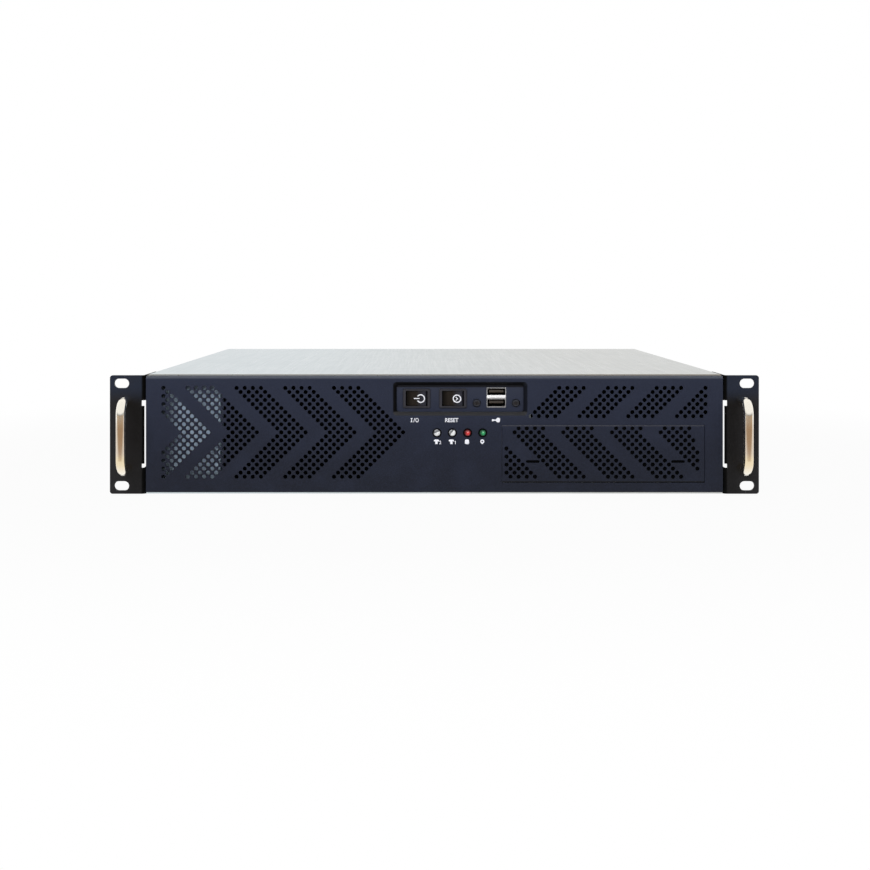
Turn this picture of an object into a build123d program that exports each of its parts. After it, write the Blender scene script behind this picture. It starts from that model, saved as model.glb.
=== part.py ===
from build123d import *

import math
import os

os.makedirs("parts", exist_ok=True)

# Empty 2U rackmount server case, in millimetres. +X is to the right, -Y is the front and +Z is up.
# z = 0 is the underside, and x = 0, y = 0 is the middle of the whole outline seen from above.

# Overall sizes
rack_width = 482.6
ear_width = 26.8
body_width = rack_width - 2 * ear_width
body_depth = 380.0
panel_top = 87.6
ear_height = 88.1
handle_reach = 25.0

# Sheet thicknesses and clearances
tray_t = 1.0
lid_t = 1.0
panel_t = 1.5
ear_t = 2.0
bracket_t = 1.0
fit = 0.3
snug = 0.15

# Thumb screws that hold the lid at the back
thumb_head_d = 11.0
thumb_head_l = 8.0
thumb_shank_d = 4.0
thumb_edge = 24.5
thumb_drop = 6.1
thumb_l = 5.0
thumb_slack = 1.0

front_y = handle_reach - (handle_reach + body_depth + thumb_head_l) / 2
rear_y = front_y + body_depth
back_of_panel = front_y + panel_t
half = body_width / 2
thumb_x = half - thumb_edge
thumb_z = panel_top - thumb_drop

# Tray walls: the top strip is stepped inwards so that the lid's lips go over it
lid_half = half - fit
step_half = lid_half - lid_t - fit
lid_lip = 12.0
lid_set_back = 3.4
lid_front_cut = 4.0
step_z = panel_top - lid_lip - 2.0
step_rise = 2.4
return_w = 8.5
rear_face = rear_y - lid_t - fit

# Front panel
flange_l = 14.0
flange_half = step_half - tray_t - fit
top_bend = 1.4
bay_w, bay_h = 150.8, 42.5
bay_edge = 13.5
bay_z0 = 8.4
bay_x1 = half - bay_edge
bay_x0 = bay_x1 - bay_w
bay_z1 = bay_z0 + bay_h
recess_w, recess_h = 94.75, 19.9
recess_left = 78.35
recess_drop = 7.1
recess_x0 = bay_x0 - recess_left
recess_x1 = recess_x0 + recess_w
recess_z1 = panel_top - recess_drop
recess_z0 = recess_z1 - recess_h
recess_depth = 5.0
rim_w = 3.2
rim_r = 3.0

# Perforation: small holes on a slanted lattice, in chevrons that are four holes wide
pitch_x = 3.02
pitch_z = 3.0
hole_side = 2.75
holes_a_slot = 3
rows = 23
perf_mid_z = 45.7
perf_edge = 13.0
perf_left_x = perf_edge - half
perf_right_x = half - perf_edge + 0.1
chevron_starts = (-6, 6, 18, 30, 42)
band = (0, 2, 4, 6)

# Indicator lamps
lamp_left = (48.3, 36.9, 25.55, 14.3)
lamp_x = [bay_x0 - left for left in lamp_left]
lamp_z = 45.4
lamp_d = 4.9
lamp_edge = 0.9
lamp_out = 2.0
lamp_names = ("network_lamp_2", "network_lamp_1", "disk_lamp", "power_lamp")
lamp_board_y = 6.0
lamp_board_t = 1.6
lamp_board_h = 9.0
lamp_post_d = 4.0
lamp_post_out = 6.0

# Rocker switches behind the recess
plate_t = 1.2
plate_lap = 2.9
switch_in = (14.9, 42.05)
switch_x = [recess_x0 + inwards for inwards in switch_in]
switch_z = (recess_z0 + recess_z1) / 2
bezel_w, bezel_h, bezel_t = 20.6, 14.6, 1.3
bezel_corner = 1.2
bezel_edge = 0.5
switch_w, switch_h, switch_l = 18.0, 12.8, 15.0
rocker_r = 7.85
rocker_h = 10.9
rocker_dip = 2.1
rocker_end = (7.1, 3.3)
rocker_foot = (4.4, 5.4)
rocker_tilt = 7.0
rocker_pivot = 2.4
rocker_pin_d = 2.0
rocker_pin_l = 0.7
cavity_l = 9.0

# USB sockets
usb_in = 74.45
usb_rise = 0.6
usb_x = recess_x0 + usb_in
usb_z = switch_z + usb_rise
usb_w, usb_h, usb_l = 14.2, 14.8, 17.0
usb_proud = 0.6
usb_corner = 0.6
usb_mouth_w, usb_mouth_h = 12.1, 4.3
usb_mouth_z = (usb_z - 4.05, usb_z + 4.05)
usb_mouth_l = 12.0
tongue_w, tongue_h, tongue_l = 10.8, 1.7, 10.0
tongue_rise = 0.6
usb_screw_out = 14.65
usb_screw_x = (usb_x - usb_screw_out, usb_x + usb_screw_out)
usb_screw_z = usb_z - 4.05
usb_ear_h = 9.0
usb_board_w = 20.2
usb_board_l = 30.0
usb_board_t = 1.6

# Ears, handles and their screws
ear_flange_l = 40.0
ear_bend = 3.3
ear_corner = 2.0
slot_edge = 8.75
slot_pitch_x = rack_width - 2 * slot_edge
slot_z0 = 5.9
slot_pitch_z = 76.2
slot_l, slot_h = 11.0, 7.0
notch_z0, notch_z1 = 19.15, 69.5
relief_low, relief_high = 3.2, 4.25
notch_half = half + 1.5
relief_half = half + 3.5
notch_l = 14.0
handle_edge = 13.3
handle_x = rack_width / 2 - handle_edge
handle_z = 44.2
handle_h = 57.6
handle_d = 7.0
handle_bend = 9.0
handle_thread_d = 3.0
handle_thread_l = 5.0
ear_screw_y = 29.0
ear_screw_z = (14.0, 44.0, 72.0)

# Fans and their bracket
fan_size = 80.0
fan_t = 25.0
fan_bore = fan_size - 4.0
fan_pitch = fan_size - 8.5
fan_gap = 0.6
fan_hub_d = 31.0
fan_base_d = 33.0
fan_base_t = 3.0
fan_boss_d = 8.0
fan_boss_l = 10.0
fan_corner = 3.0
hub_front_gap = 1.5
hub_back_gap = 1.0
hub_wall = 2.0
fan_shaft_d = 3.0
fan_arm_w = 4.0
fan_blades = 7
blade_t = 1.6
blade_root = (fan_hub_d / 2 - 1.0, 52, 19)
blade_tip = (fan_bore / 2, 30, 25)
blade_gap = 1.0
fan_lift = 2.4
fan_z = tray_t + fan_lift + fan_size / 2
fan_in = 133.5
fan_mid_x = fan_in - half
fan_front = 28.0
fan_screw_l = 8.0
wing_front = 14.0
wing_x = 3.5 - half
bracket_top = 84.0
foot_l = 12.0

# Drive cages
drive_w, drive_h = bay_w - 4.4, 41.6
drive_gap = 1.0
cage_front = 17.0
cage_l = 150.0
cage_foot = 9.0
ledge_w = 4.0
disk_w = 102.4
disk_shift = 8.6
disk_cage_x = (bay_x0 + bay_x1) / 2 + disk_shift
disk_cage_h = 30.0
disk_flange = 9.0

# Back of the case
io_w, io_h = 158.75, 44.45
io_in, io_z = 168.0, 28.4
io_x = io_in - half
card_in = 73.5
card_x0 = card_in - half
card_pitch = 20.32
card_count = 4
card_w, card_h = 13.6, 58.0
card_z = 37.0
cover_w, cover_lap = 18.6, 4.0
cover_screw_z = 71.2
supply_in, supply_z = 86.5, 41.5
supply_x = half - supply_in
supply_w, supply_h = 126.0, 67.0
supply_pitch_x, supply_pitch_z = 138.0, 64.0
supply_hole_d = 3.8
rear_flange = 6.0

# Stand-offs for the main board
standoff_right = 77.5
standoff_x0 = io_x + standoff_right
standoff_dx = (0.0, 157.48, 203.2)
standoff_dy = (10.2, 165.1, 237.5)
standoff_h = 6.5
standoff_w = 5.5
standoff_bore = 3.0

# Small screws: a flat-sided head and shank
screw_head_d, screw_head_t = 6.0, 1.8
screw_shank_d = 3.0
screw_tail = 2.0
hole_over = 0.4


def front_plane(y):
    """A drawing plane that faces the front, at the given y, with x to the right and z up."""
    return Plane.XZ.offset(-y)


def screw_on(plane, places, shank_l):
    """Screws on a plane: each head stands out along its normal, each shank goes in."""
    with BuildSketch(plane) as heads:
        with Locations(*places):
            RegularPolygon(screw_head_d / 2, 8)
    extrude(heads.sketch, amount=screw_head_t)
    with BuildSketch(plane) as shanks:
        with Locations(*places):
            RegularPolygon(screw_shank_d / 2, 6)
    extrude(shanks.sketch, amount=-shank_l)


def screw_holes(plane, places, depth):
    """Clearance holes for small screws, cut from a plane against its normal."""
    with BuildSketch(plane) as holes:
        with Locations(*places):
            RegularPolygon((screw_shank_d + hole_over) / 2, 6)
    extrude(holes.sketch, amount=-depth, mode=Mode.SUBTRACT)


def chevron_line(start):
    """One slanted line of a chevron: its column and row, from the top down to the bottom."""
    return [(start + min(r, rows - 1 - r), r) for r in range(rows)]


def slanted_slots(starts, keep, mirrored):
    """Slots along the chevrons' arms, each over a few neighbouring holes: (location, length)."""
    slots = []
    first_x = perf_right_x if mirrored else perf_left_x
    way = -1 if mirrored else 1
    middle = rows // 2 + 1
    for start in starts:
        for shift in band:
            line = chevron_line(start + shift)
            for arm, slope in ((line[:middle], -way), (line[middle:], way)):
                kept = [p for p in arm if keep(*p)]
                for i in range(0, len(kept), holes_a_slot):
                    near = kept[i : i + holes_a_slot]
                    c = sum(p[0] for p in near) / len(near)
                    r = sum(p[1] for p in near) / len(near)
                    x = first_x + way * pitch_x * c
                    z = perf_mid_z + ((rows - 1) / 2 - r) * pitch_z
                    run = (len(near) - 1) * math.hypot(pitch_x, pitch_z)
                    angle = slope * math.degrees(math.atan2(pitch_z, pitch_x))
                    slots.append((Location((x, z, 0), (0, 0, angle)), hole_side + run))
    return slots


def cut_slots(plane, slots, depth):
    """Cuts the slots from a plane against its normal."""
    with BuildSketch(plane) as holes:
        for length in sorted({round(size, 3) for _, size in slots}):
            with Locations(*[place for place, size in slots if round(size, 3) == length]):
                Rectangle(length, hole_side)
    extrude(holes.sketch, amount=-depth, mode=Mode.SUBTRACT)


# Tray: floor and two side walls from one folded sheet, with returns behind the front panel
tray_profile = [
    (half, 0),
    (half, step_z),
    (step_half, step_z + step_rise),
    (step_half, panel_top),
    (step_half - tray_t, panel_top),
    (step_half - tray_t, step_z + step_rise),
    (half - tray_t, step_z),
    (half - tray_t, tray_t),
]
ear_wall_screws = [(front_y + ear_screw_y, z) for z in ear_screw_z]
with BuildPart() as chassis_tray:
    with BuildSketch(front_plane(back_of_panel)):
        with BuildLine():
            Polyline(*tray_profile, *[(-x, z) for x, z in reversed(tray_profile)], close=True)
        make_face()
    extrude(amount=-(rear_face - back_of_panel))
    with BuildSketch(front_plane(back_of_panel)):
        for side in (-1, 1):
            with Locations((side * (half - tray_t - return_w / 2), (step_z + 4 * tray_t) / 2)):
                Rectangle(return_w, step_z - 4 * tray_t)
    extrude(amount=-tray_t)
    for plane in (Plane.YZ.offset(half), Plane.YZ.offset(tray_t - half)):
        screw_holes(plane, ear_wall_screws, tray_t)
chassis_tray.part.label = "chassis_tray"
export_step(chassis_tray.part, "parts/chassis_tray.step")

# Lid: a sheet with side lips over the tray's stepped walls and a back lip with open notches
with BuildPart() as lid:
    with BuildSketch(front_plane(front_y + lid_set_back)):
        with BuildLine():
            Polyline(
                (-lid_half, panel_top - lid_lip),
                (-lid_half, panel_top + lid_t),
                (lid_half, panel_top + lid_t),
                (lid_half, panel_top - lid_lip),
                (lid_half - lid_t, panel_top - lid_lip),
                (lid_half - lid_t, panel_top),
                (lid_t - lid_half, panel_top),
                (lid_t - lid_half, panel_top - lid_lip),
                close=True,
            )
        make_face()
    extrude(amount=-(body_depth - lid_set_back))
    fillet(lid.edges().filter_by(Axis.Y).group_by(Axis.Z)[-1], radius=lid_t * 0.9)
    with BuildSketch(front_plane(rear_y)):
        with Locations((0, panel_top - lid_lip / 2)):
            Rectangle(2 * lid_half, lid_lip)
        with Locations((-thumb_x, thumb_z - lid_lip / 2), (thumb_x, thumb_z - lid_lip / 2)):
            Rectangle(thumb_shank_d + thumb_slack, lid_lip, mode=Mode.SUBTRACT)
        with Locations((-thumb_x, thumb_z), (thumb_x, thumb_z)):
            Circle((thumb_shank_d + thumb_slack) / 2, mode=Mode.SUBTRACT)
    extrude(amount=lid_t)
    # The front ends of the lips are cut back behind the ears' bends
    with BuildSketch(Plane.YZ.offset(-half)):
        with Locations((front_y + lid_set_back, panel_top - lid_lip / 2)):
            Rectangle(lid_front_cut, lid_lip)
    extrude(amount=body_width, mode=Mode.SUBTRACT)
lid.part.label = "lid"
export_step(lid.part, "parts/lid.step")

# Front panel: folded sheet with a rolled-in recess, a drive bay opening and chevron perforation
recess_mid = ((recess_x0 + recess_x1) / 2, (recess_z0 + recess_z1) / 2)
bay_mid = ((bay_x0 + bay_x1) / 2, (bay_z0 + bay_z1) / 2)
left_slots = slanted_slots(chevron_starts, lambda c, r: c >= 0, False)
upper_slots = slanted_slots(chevron_starts[:-1], lambda c, r: c >= 0 and r <= 7, True)
with BuildPart() as front_panel:
    with BuildSketch(front_plane(front_y)):
        with Locations((0, (tray_t + panel_top) / 2)):
            Rectangle(body_width, panel_top - tray_t)
    extrude(amount=-panel_t)
    with BuildSketch(Plane.YZ.offset(-flange_half)):
        with Locations((front_y + flange_l / 2, panel_top - panel_t / 2)):
            Rectangle(flange_l, panel_t)
        with Locations((front_y + flange_l / 2, tray_t + panel_t / 2)):
            Rectangle(flange_l, panel_t)
    extrude(amount=2 * flange_half)
    front_edges = front_panel.edges().filter_by(Axis.X).group_by(Axis.Y)[0]
    fillet(front_edges.sort_by(Axis.Z)[-1], radius=top_bend)
    with BuildSketch(front_plane(front_y)):
        with Locations(recess_mid):
            Rectangle(recess_w + 2 * rim_w, recess_h + 2 * rim_w)
    extrude(amount=-recess_depth)
    with BuildSketch(front_plane(front_y)):
        with Locations(recess_mid):
            Rectangle(recess_w, recess_h)
    extrude(amount=-recess_depth, mode=Mode.SUBTRACT)
    rim_edges = (
        front_panel.edges()
        .filter_by_position(Axis.Y, front_y - 0.01, front_y + 0.01)
        .filter_by_position(Axis.X, recess_x0 - 0.01, recess_x1 + 0.01)
        .filter_by_position(Axis.Z, recess_z0 - 0.01, recess_z1 + 0.01)
    )
    fillet(rim_edges, radius=rim_r)
    with BuildSketch(front_plane(front_y)):
        with Locations(bay_mid):
            Rectangle(bay_w + 2 * fit, bay_h + 2 * fit)
        with Locations(*[(x, lamp_z) for x in lamp_x]):
            Circle(lamp_d / 2 + snug)
    extrude(amount=-panel_t, mode=Mode.SUBTRACT)
    cut_slots(front_plane(front_y), left_slots + upper_slots, panel_t)
front_panel.part.label = "front_panel"
export_step(front_panel.part, "parts/front_panel.step")


def on_bay_cover(c, r):
    """Whether the lattice has a hole at this column and row of the bay cover."""
    if r < 10 or c > 49 or c < 2:
        return False
    return not (r == 14 and c == 2)


# Bay cover: a perforated blank with side walls that go back into the opening, and two grip slots
cover_wall_l = 12.0
grip_in = (23.0, 19.8)
grip_rise = 15.6
grip_x = (bay_x0 + grip_in[0], bay_x1 - grip_in[1])
grip_z = bay_z0 + grip_rise
grip_w, grip_h = 10.2, 2.0
with BuildPart() as bay_cover:
    with BuildSketch(front_plane(front_y)):
        with Locations(bay_mid):
            Rectangle(bay_w, bay_h)
    extrude(amount=-(panel_t + cover_wall_l))
    with BuildSketch(front_plane(back_of_panel)):
        with Locations(bay_mid):
            Rectangle(bay_w - 2 * plate_t, bay_h - 2 * plate_t)
    extrude(amount=-cover_wall_l, mode=Mode.SUBTRACT)
    with BuildSketch(front_plane(front_y)):
        with Locations(*[(x, grip_z) for x in grip_x]):
            Rectangle(grip_w, grip_h)
    extrude(amount=-panel_t, mode=Mode.SUBTRACT)
    cover_slots = slanted_slots(chevron_starts, on_bay_cover, True)
    cut_slots(front_plane(front_y), cover_slots, panel_t)
bay_cover.part.label = "bay_cover"
export_step(bay_cover.part, "parts/bay_cover.step")

# Control plate: closes the back of the recess and carries the switches and the USB sockets
plate_y = front_y + recess_depth
usb_screws_at = [(x, usb_screw_z) for x in usb_screw_x]
with BuildPart() as control_plate:
    with BuildSketch(front_plane(plate_y)):
        with Locations(recess_mid):
            Rectangle(recess_w + 2 * plate_lap, recess_h + 2 * plate_lap)
        with Locations(*[(x, switch_z) for x in switch_x]):
            Rectangle(switch_w + 2 * snug, switch_h + 2 * snug, mode=Mode.SUBTRACT)
        with Locations((usb_x, usb_z)):
            Rectangle(usb_w + 2 * snug, usb_h + 2 * snug, mode=Mode.SUBTRACT)
    extrude(amount=-plate_t)
    screw_holes(front_plane(plate_y), usb_screws_at, plate_t)
control_plate.part.label = "control_plate"
export_step(control_plate.part, "parts/control_plate.step")

# Rocker switches: a bezelled body with a cavity, and a concave rocker on two pins
end_x, end_y = rocker_end
foot_x, foot_y = rocker_foot
for name, x in zip(("power", "reset"), switch_x):
    pivot = Vector(x, plate_y + rocker_pivot, switch_z)
    with BuildPart() as switch_body:
        with BuildSketch(front_plane(plate_y - bezel_t)):
            with Locations((x, switch_z)):
                RectangleRounded(bezel_w, bezel_h, bezel_corner)
        extrude(amount=-bezel_t)
        chamfer(switch_body.faces().sort_by(Axis.Y)[0].edges(), length=bezel_edge)
        with BuildSketch(front_plane(plate_y)):
            with Locations((x, switch_z)):
                Rectangle(switch_w, switch_h)
        extrude(amount=-switch_l)
        with BuildSketch(front_plane(plate_y - bezel_t)):
            with Locations((x, switch_z)):
                Rectangle(2 * (rocker_r + fit), rocker_h + 2 * fit)
        extrude(amount=-(bezel_t + cavity_l), mode=Mode.SUBTRACT)
        with BuildSketch(Plane.XY.offset(switch_z - rocker_h / 2 - rocker_pin_l)):
            with Locations((pivot.X, pivot.Y)):
                Circle(rocker_pin_d / 2 + snug)
        extrude(amount=rocker_h + 2 * rocker_pin_l, mode=Mode.SUBTRACT)
    switch_body.part.label = f"{name}_switch_body"
    export_step(switch_body.part, f"parts/{name}_switch_body.step")

    tilted = Plane(
        origin=(pivot.X, pivot.Y, switch_z - rocker_h / 2),
        x_dir=(math.cos(math.radians(rocker_tilt)), -math.sin(math.radians(rocker_tilt)), 0),
        z_dir=(0, 0, 1),
    )
    with BuildPart() as rocker:
        with BuildSketch(tilted):
            with BuildLine():
                ThreePointArc((-end_x, -end_y), (0, -rocker_dip), (end_x, -end_y))
                ThreePointArc((end_x, -end_y), (rocker_r, 0), (end_x, end_y))
                Polyline((end_x, end_y), (foot_x, foot_y), (-foot_x, foot_y), (-end_x, end_y))
                ThreePointArc((-end_x, end_y), (-rocker_r, 0), (-end_x, -end_y))
            make_face()
        extrude(amount=rocker_h)
        with BuildSketch(Plane.XY.offset(switch_z - rocker_h / 2 - rocker_pin_l + snug)):
            with Locations((pivot.X, pivot.Y)):
                Circle(rocker_pin_d / 2)
        extrude(amount=rocker_h + 2 * (rocker_pin_l - snug))
    rocker.part.label = f"{name}_rocker"
    export_step(rocker.part, f"parts/{name}_rocker.step")

# USB sockets: one steel shell with two mouths, plastic tongues, a board and a bracket
with BuildPart() as usb_shell:
    with BuildSketch(front_plane(plate_y - usb_proud)):
        with Locations((usb_x, usb_z)):
            RectangleRounded(usb_w, usb_h, usb_corner)
    extrude(amount=-usb_l)
    with BuildSketch(front_plane(plate_y - usb_proud)):
        with Locations(*[(usb_x, z) for z in usb_mouth_z]):
            Rectangle(usb_mouth_w, usb_mouth_h)
    extrude(amount=-usb_mouth_l, mode=Mode.SUBTRACT)
usb_shell.part.label = "usb_shell"
export_step(usb_shell.part, "parts/usb_shell.step")

with BuildPart() as usb_tongues:
    with BuildSketch(front_plane(plate_y - usb_proud + usb_mouth_l)):
        with Locations(*[(usb_x, z + tongue_rise) for z in usb_mouth_z]):
            Rectangle(tongue_w, tongue_h)
    extrude(amount=tongue_l)
usb_tongues.part.label = "usb_tongues"
export_step(usb_tongues.part, "parts/usb_tongues.step")

usb_floor = usb_z - usb_h / 2
plate_back = plate_y + plate_t
bracket_low = usb_floor - usb_board_t - bracket_t
with BuildPart() as usb_board:
    with BuildSketch(Plane.XY.offset(usb_floor - usb_board_t)):
        with Locations((usb_x, plate_back + bracket_t + fit + usb_board_l / 2)):
            Rectangle(usb_board_w, usb_board_l)
    extrude(amount=usb_board_t)
usb_board.part.label = "usb_board"
export_step(usb_board.part, "parts/usb_board.step")

with BuildPart() as usb_bracket:
    span = usb_screw_x[1] - usb_screw_x[0] + screw_head_d + 2
    with BuildSketch(front_plane(plate_back)):
        with Locations((usb_x, bracket_low + usb_ear_h / 2)):
            Rectangle(span, usb_ear_h)
        with Locations((usb_x, usb_z)):
            Rectangle(usb_w + 2 * fit, usb_h + 2 * fit, mode=Mode.SUBTRACT)
    extrude(amount=-bracket_t)
    with BuildSketch(Plane.XY.offset(bracket_low)):
        with Locations((usb_x, plate_back + usb_board_l / 2)):
            Rectangle(usb_board_w, usb_board_l)
    extrude(amount=bracket_t)
    screw_holes(front_plane(plate_back), usb_screws_at, bracket_t)
usb_bracket.part.label = "usb_bracket"
export_step(usb_bracket.part, "parts/usb_bracket.step")

with BuildPart() as usb_screws:
    screw_on(front_plane(plate_y), usb_screws_at, plate_t + bracket_t + screw_tail)
usb_screws.part.label = "usb_screws"
export_step(usb_screws.part, "parts/usb_screws.step")

# Indicator lamps on their board, which stands on two posts behind the panel
board_front = front_y + lamp_board_y
for name, x in zip(lamp_names, lamp_x):
    with BuildPart() as lamp:
        with BuildSketch(front_plane(front_y - lamp_out)):
            with Locations((x, lamp_z)):
                Circle(lamp_d / 2)
        extrude(amount=-(lamp_out + lamp_board_y))
        chamfer(lamp.faces().sort_by(Axis.Y)[0].edges(), length=lamp_edge)
    lamp.part.label = name
    export_step(lamp.part, f"parts/{name}.step")

lamp_mid = (lamp_x[0] + lamp_x[-1]) / 2
lamp_post_x = (lamp_x[-1] - lamp_x[0]) / 2 + lamp_post_out
with BuildPart() as lamp_board:
    with BuildSketch(front_plane(board_front)):
        with Locations((lamp_mid, lamp_z)):
            Rectangle(2 * lamp_post_x + lamp_post_d, lamp_board_h)
    extrude(amount=-lamp_board_t)
lamp_board.part.label = "lamp_board"
export_step(lamp_board.part, "parts/lamp_board.step")

with BuildPart() as lamp_board_posts:
    with BuildSketch(front_plane(back_of_panel)):
        with Locations((lamp_mid - lamp_post_x, lamp_z), (lamp_mid + lamp_post_x, lamp_z)):
            RegularPolygon(lamp_post_d / 2, 6)
    extrude(amount=-(board_front - back_of_panel))
lamp_board_posts.part.label = "lamp_board_posts"
export_step(lamp_board_posts.part, "parts/lamp_board_posts.step")

# Right ear: an angle whose bend is notched beside the handle, with two rack slots
rack_slots = [(slot_pitch_x / 2, slot_z0), (slot_pitch_x / 2, slot_z0 + slot_pitch_z)]
handle_leg_z = (handle_h - handle_d) / 2
handle_feet = [(handle_x, handle_z - handle_leg_z), (handle_x, handle_z + handle_leg_z)]
with BuildPart() as right_ear:
    with BuildSketch(Plane.XY):
        with BuildLine():
            Polyline(
                (half, front_y),
                (rack_width / 2, front_y),
                (rack_width / 2, front_y + ear_t),
                (half + ear_t, front_y + ear_t),
                (half + ear_t, front_y + ear_flange_l),
                (half, front_y + ear_flange_l),
                close=True,
            )
        make_face()
    extrude(amount=ear_height)
    upright = right_ear.edges().filter_by(Axis.Z)
    fillet(upright.sort_by_distance((half, front_y, ear_height / 2))[0], radius=ear_bend)
    across = right_ear.edges().filter_by(Axis.Y).group_by(Axis.X)[-1]
    fillet(across, radius=ear_corner)
    notch_low, notch_high = notch_z0 + relief_low, notch_z1 - relief_high
    with BuildSketch(front_plane(front_y)):
        with BuildLine():
            Polyline(
                (half - 1, notch_z0),
                (relief_half, notch_z0),
                (relief_half, notch_low),
                (notch_half, notch_low),
                (notch_half, notch_high),
                (relief_half, notch_high),
                (relief_half, notch_z1),
                (half - 1, notch_z1),
                close=True,
            )
        make_face()
    extrude(amount=-ear_t, mode=Mode.SUBTRACT)
    # Behind the front sheet the notch goes through the whole side flange
    with BuildSketch(front_plane(front_y + ear_t)):
        with Locations((half + ear_t / 2, (notch_z0 + notch_z1) / 2)):
            Rectangle(2 * ear_t, notch_z1 - notch_z0)
    extrude(amount=ear_t - notch_l, mode=Mode.SUBTRACT)
    with BuildSketch(front_plane(front_y)):
        with Locations(*rack_slots):
            SlotOverall(slot_l, slot_h)
    extrude(amount=-ear_t, mode=Mode.SUBTRACT)
    screw_holes(front_plane(front_y), handle_feet, ear_t)
    screw_holes(Plane.YZ.offset(half + ear_t), ear_wall_screws, ear_t)
right_ear.part.label = "right_ear"
export_step(right_ear.part, "parts/right_ear.step")

with BuildPart() as left_ear:
    mirror(right_ear.part, about=Plane.YZ)
left_ear.part.label = "left_ear"
export_step(left_ear.part, "parts/left_ear.step")

# Handles: a bent round bar with its two legs on the ear, with holes for screws from behind
bar_y = front_y - handle_reach + handle_d / 2
bend_y = bar_y + handle_bend
low_z, high_z = handle_feet[0][1], handle_feet[1][1]
with BuildPart() as right_handle:
    for foot_z, way in ((low_z, 1), (high_z, -1)):
        with BuildSketch(front_plane(front_y)):
            with Locations((handle_x, foot_z)):
                Circle(handle_d / 2)
        extrude(amount=front_y - bend_y)
        with BuildSketch(front_plane(bend_y)):
            with Locations((handle_x, foot_z)):
                Circle(handle_d / 2)
        turn_axis = Axis((handle_x, bend_y, foot_z + way * handle_bend), (-way, 0, 0))
        revolve(axis=turn_axis, revolution_arc=90)
    with BuildSketch(Plane.XY.offset(low_z + handle_bend)):
        with Locations((handle_x, bar_y)):
            Circle(handle_d / 2)
    extrude(amount=high_z - low_z - 2 * handle_bend)
    with BuildSketch(front_plane(front_y)):
        with Locations(*handle_feet):
            RegularPolygon(handle_thread_d / 2 + snug, 6)
    extrude(amount=handle_thread_l, mode=Mode.SUBTRACT)
right_handle.part.label = "right_handle"
export_step(right_handle.part, "parts/right_handle.step")

with BuildPart() as left_handle:
    mirror(right_handle.part, about=Plane.YZ)
left_handle.part.label = "left_handle"
export_step(left_handle.part, "parts/left_handle.step")

with BuildPart() as handle_screws:
    behind_ear = Plane(origin=(0, front_y + ear_t, 0), x_dir=(-1, 0, 0), z_dir=(0, 1, 0))
    for side in (-1, 1):
        screw_on(behind_ear, [(-side * x, z) for x, z in handle_feet], ear_t + handle_thread_l - 1)
handle_screws.part.label = "handle_screws"
export_step(handle_screws.part, "parts/handle_screws.step")

with BuildPart() as ear_screws:
    for side in (-1, 1):
        wall = Plane(
            origin=(side * (half + ear_t), 0, 0), x_dir=(0, side, 0), z_dir=(side, 0, 0)
        )
        screw_on(wall, [(side * y, z) for y, z in ear_wall_screws], ear_t + tray_t + screw_tail)
ear_screws.part.label = "ear_screws"
export_step(ear_screws.part, "parts/ear_screws.step")

# Fan bracket: a wing behind the left perforation, a step back and a plate with two round openings
fan_x = (fan_mid_x - (fan_size + fan_gap) / 2, fan_mid_x + (fan_size + fan_gap) / 2)
fan_back = front_y + fan_front + fan_t
bracket_left = fan_x[0] - fan_size / 2 - snug
bracket_right = fan_x[1] + fan_size / 2 + snug
fan_holes = [
    (x + sx * fan_pitch / 2, fan_z + sz * fan_pitch / 2)
    for x in fan_x
    for sx in (-1, 1)
    for sz in (-1, 1)
]
with BuildPart() as fan_bracket:
    with BuildSketch(Plane.XY.offset(tray_t)):
        with BuildLine():
            Polyline(
                (wing_x, front_y + wing_front),
                (bracket_left, front_y + wing_front),
                (bracket_left, fan_back),
                (bracket_right, fan_back),
                (bracket_right, front_y + fan_front),
                (bracket_right + bracket_t, front_y + fan_front),
                (bracket_right + bracket_t, fan_back + bracket_t),
                (bracket_left - bracket_t, fan_back + bracket_t),
                (bracket_left - bracket_t, front_y + wing_front + bracket_t),
                (wing_x, front_y + wing_front + bracket_t),
                close=True,
            )
        make_face()
    extrude(amount=bracket_top - tray_t)
    with BuildSketch(Plane.XY.offset(tray_t)):
        with Locations((fan_mid_x, fan_back + bracket_t + foot_l / 2)):
            Rectangle(bracket_right - bracket_left, foot_l)
    extrude(amount=bracket_t)
    with BuildSketch(front_plane(fan_back)):
        with Locations(*[(x, fan_z) for x in fan_x]):
            Circle(fan_bore / 2)
    extrude(amount=-bracket_t, mode=Mode.SUBTRACT)
    screw_holes(front_plane(fan_back), fan_holes, bracket_t)
fan_bracket.part.label = "fan_bracket"
export_step(fan_bracket.part, "parts/fan_bracket.step")

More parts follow.
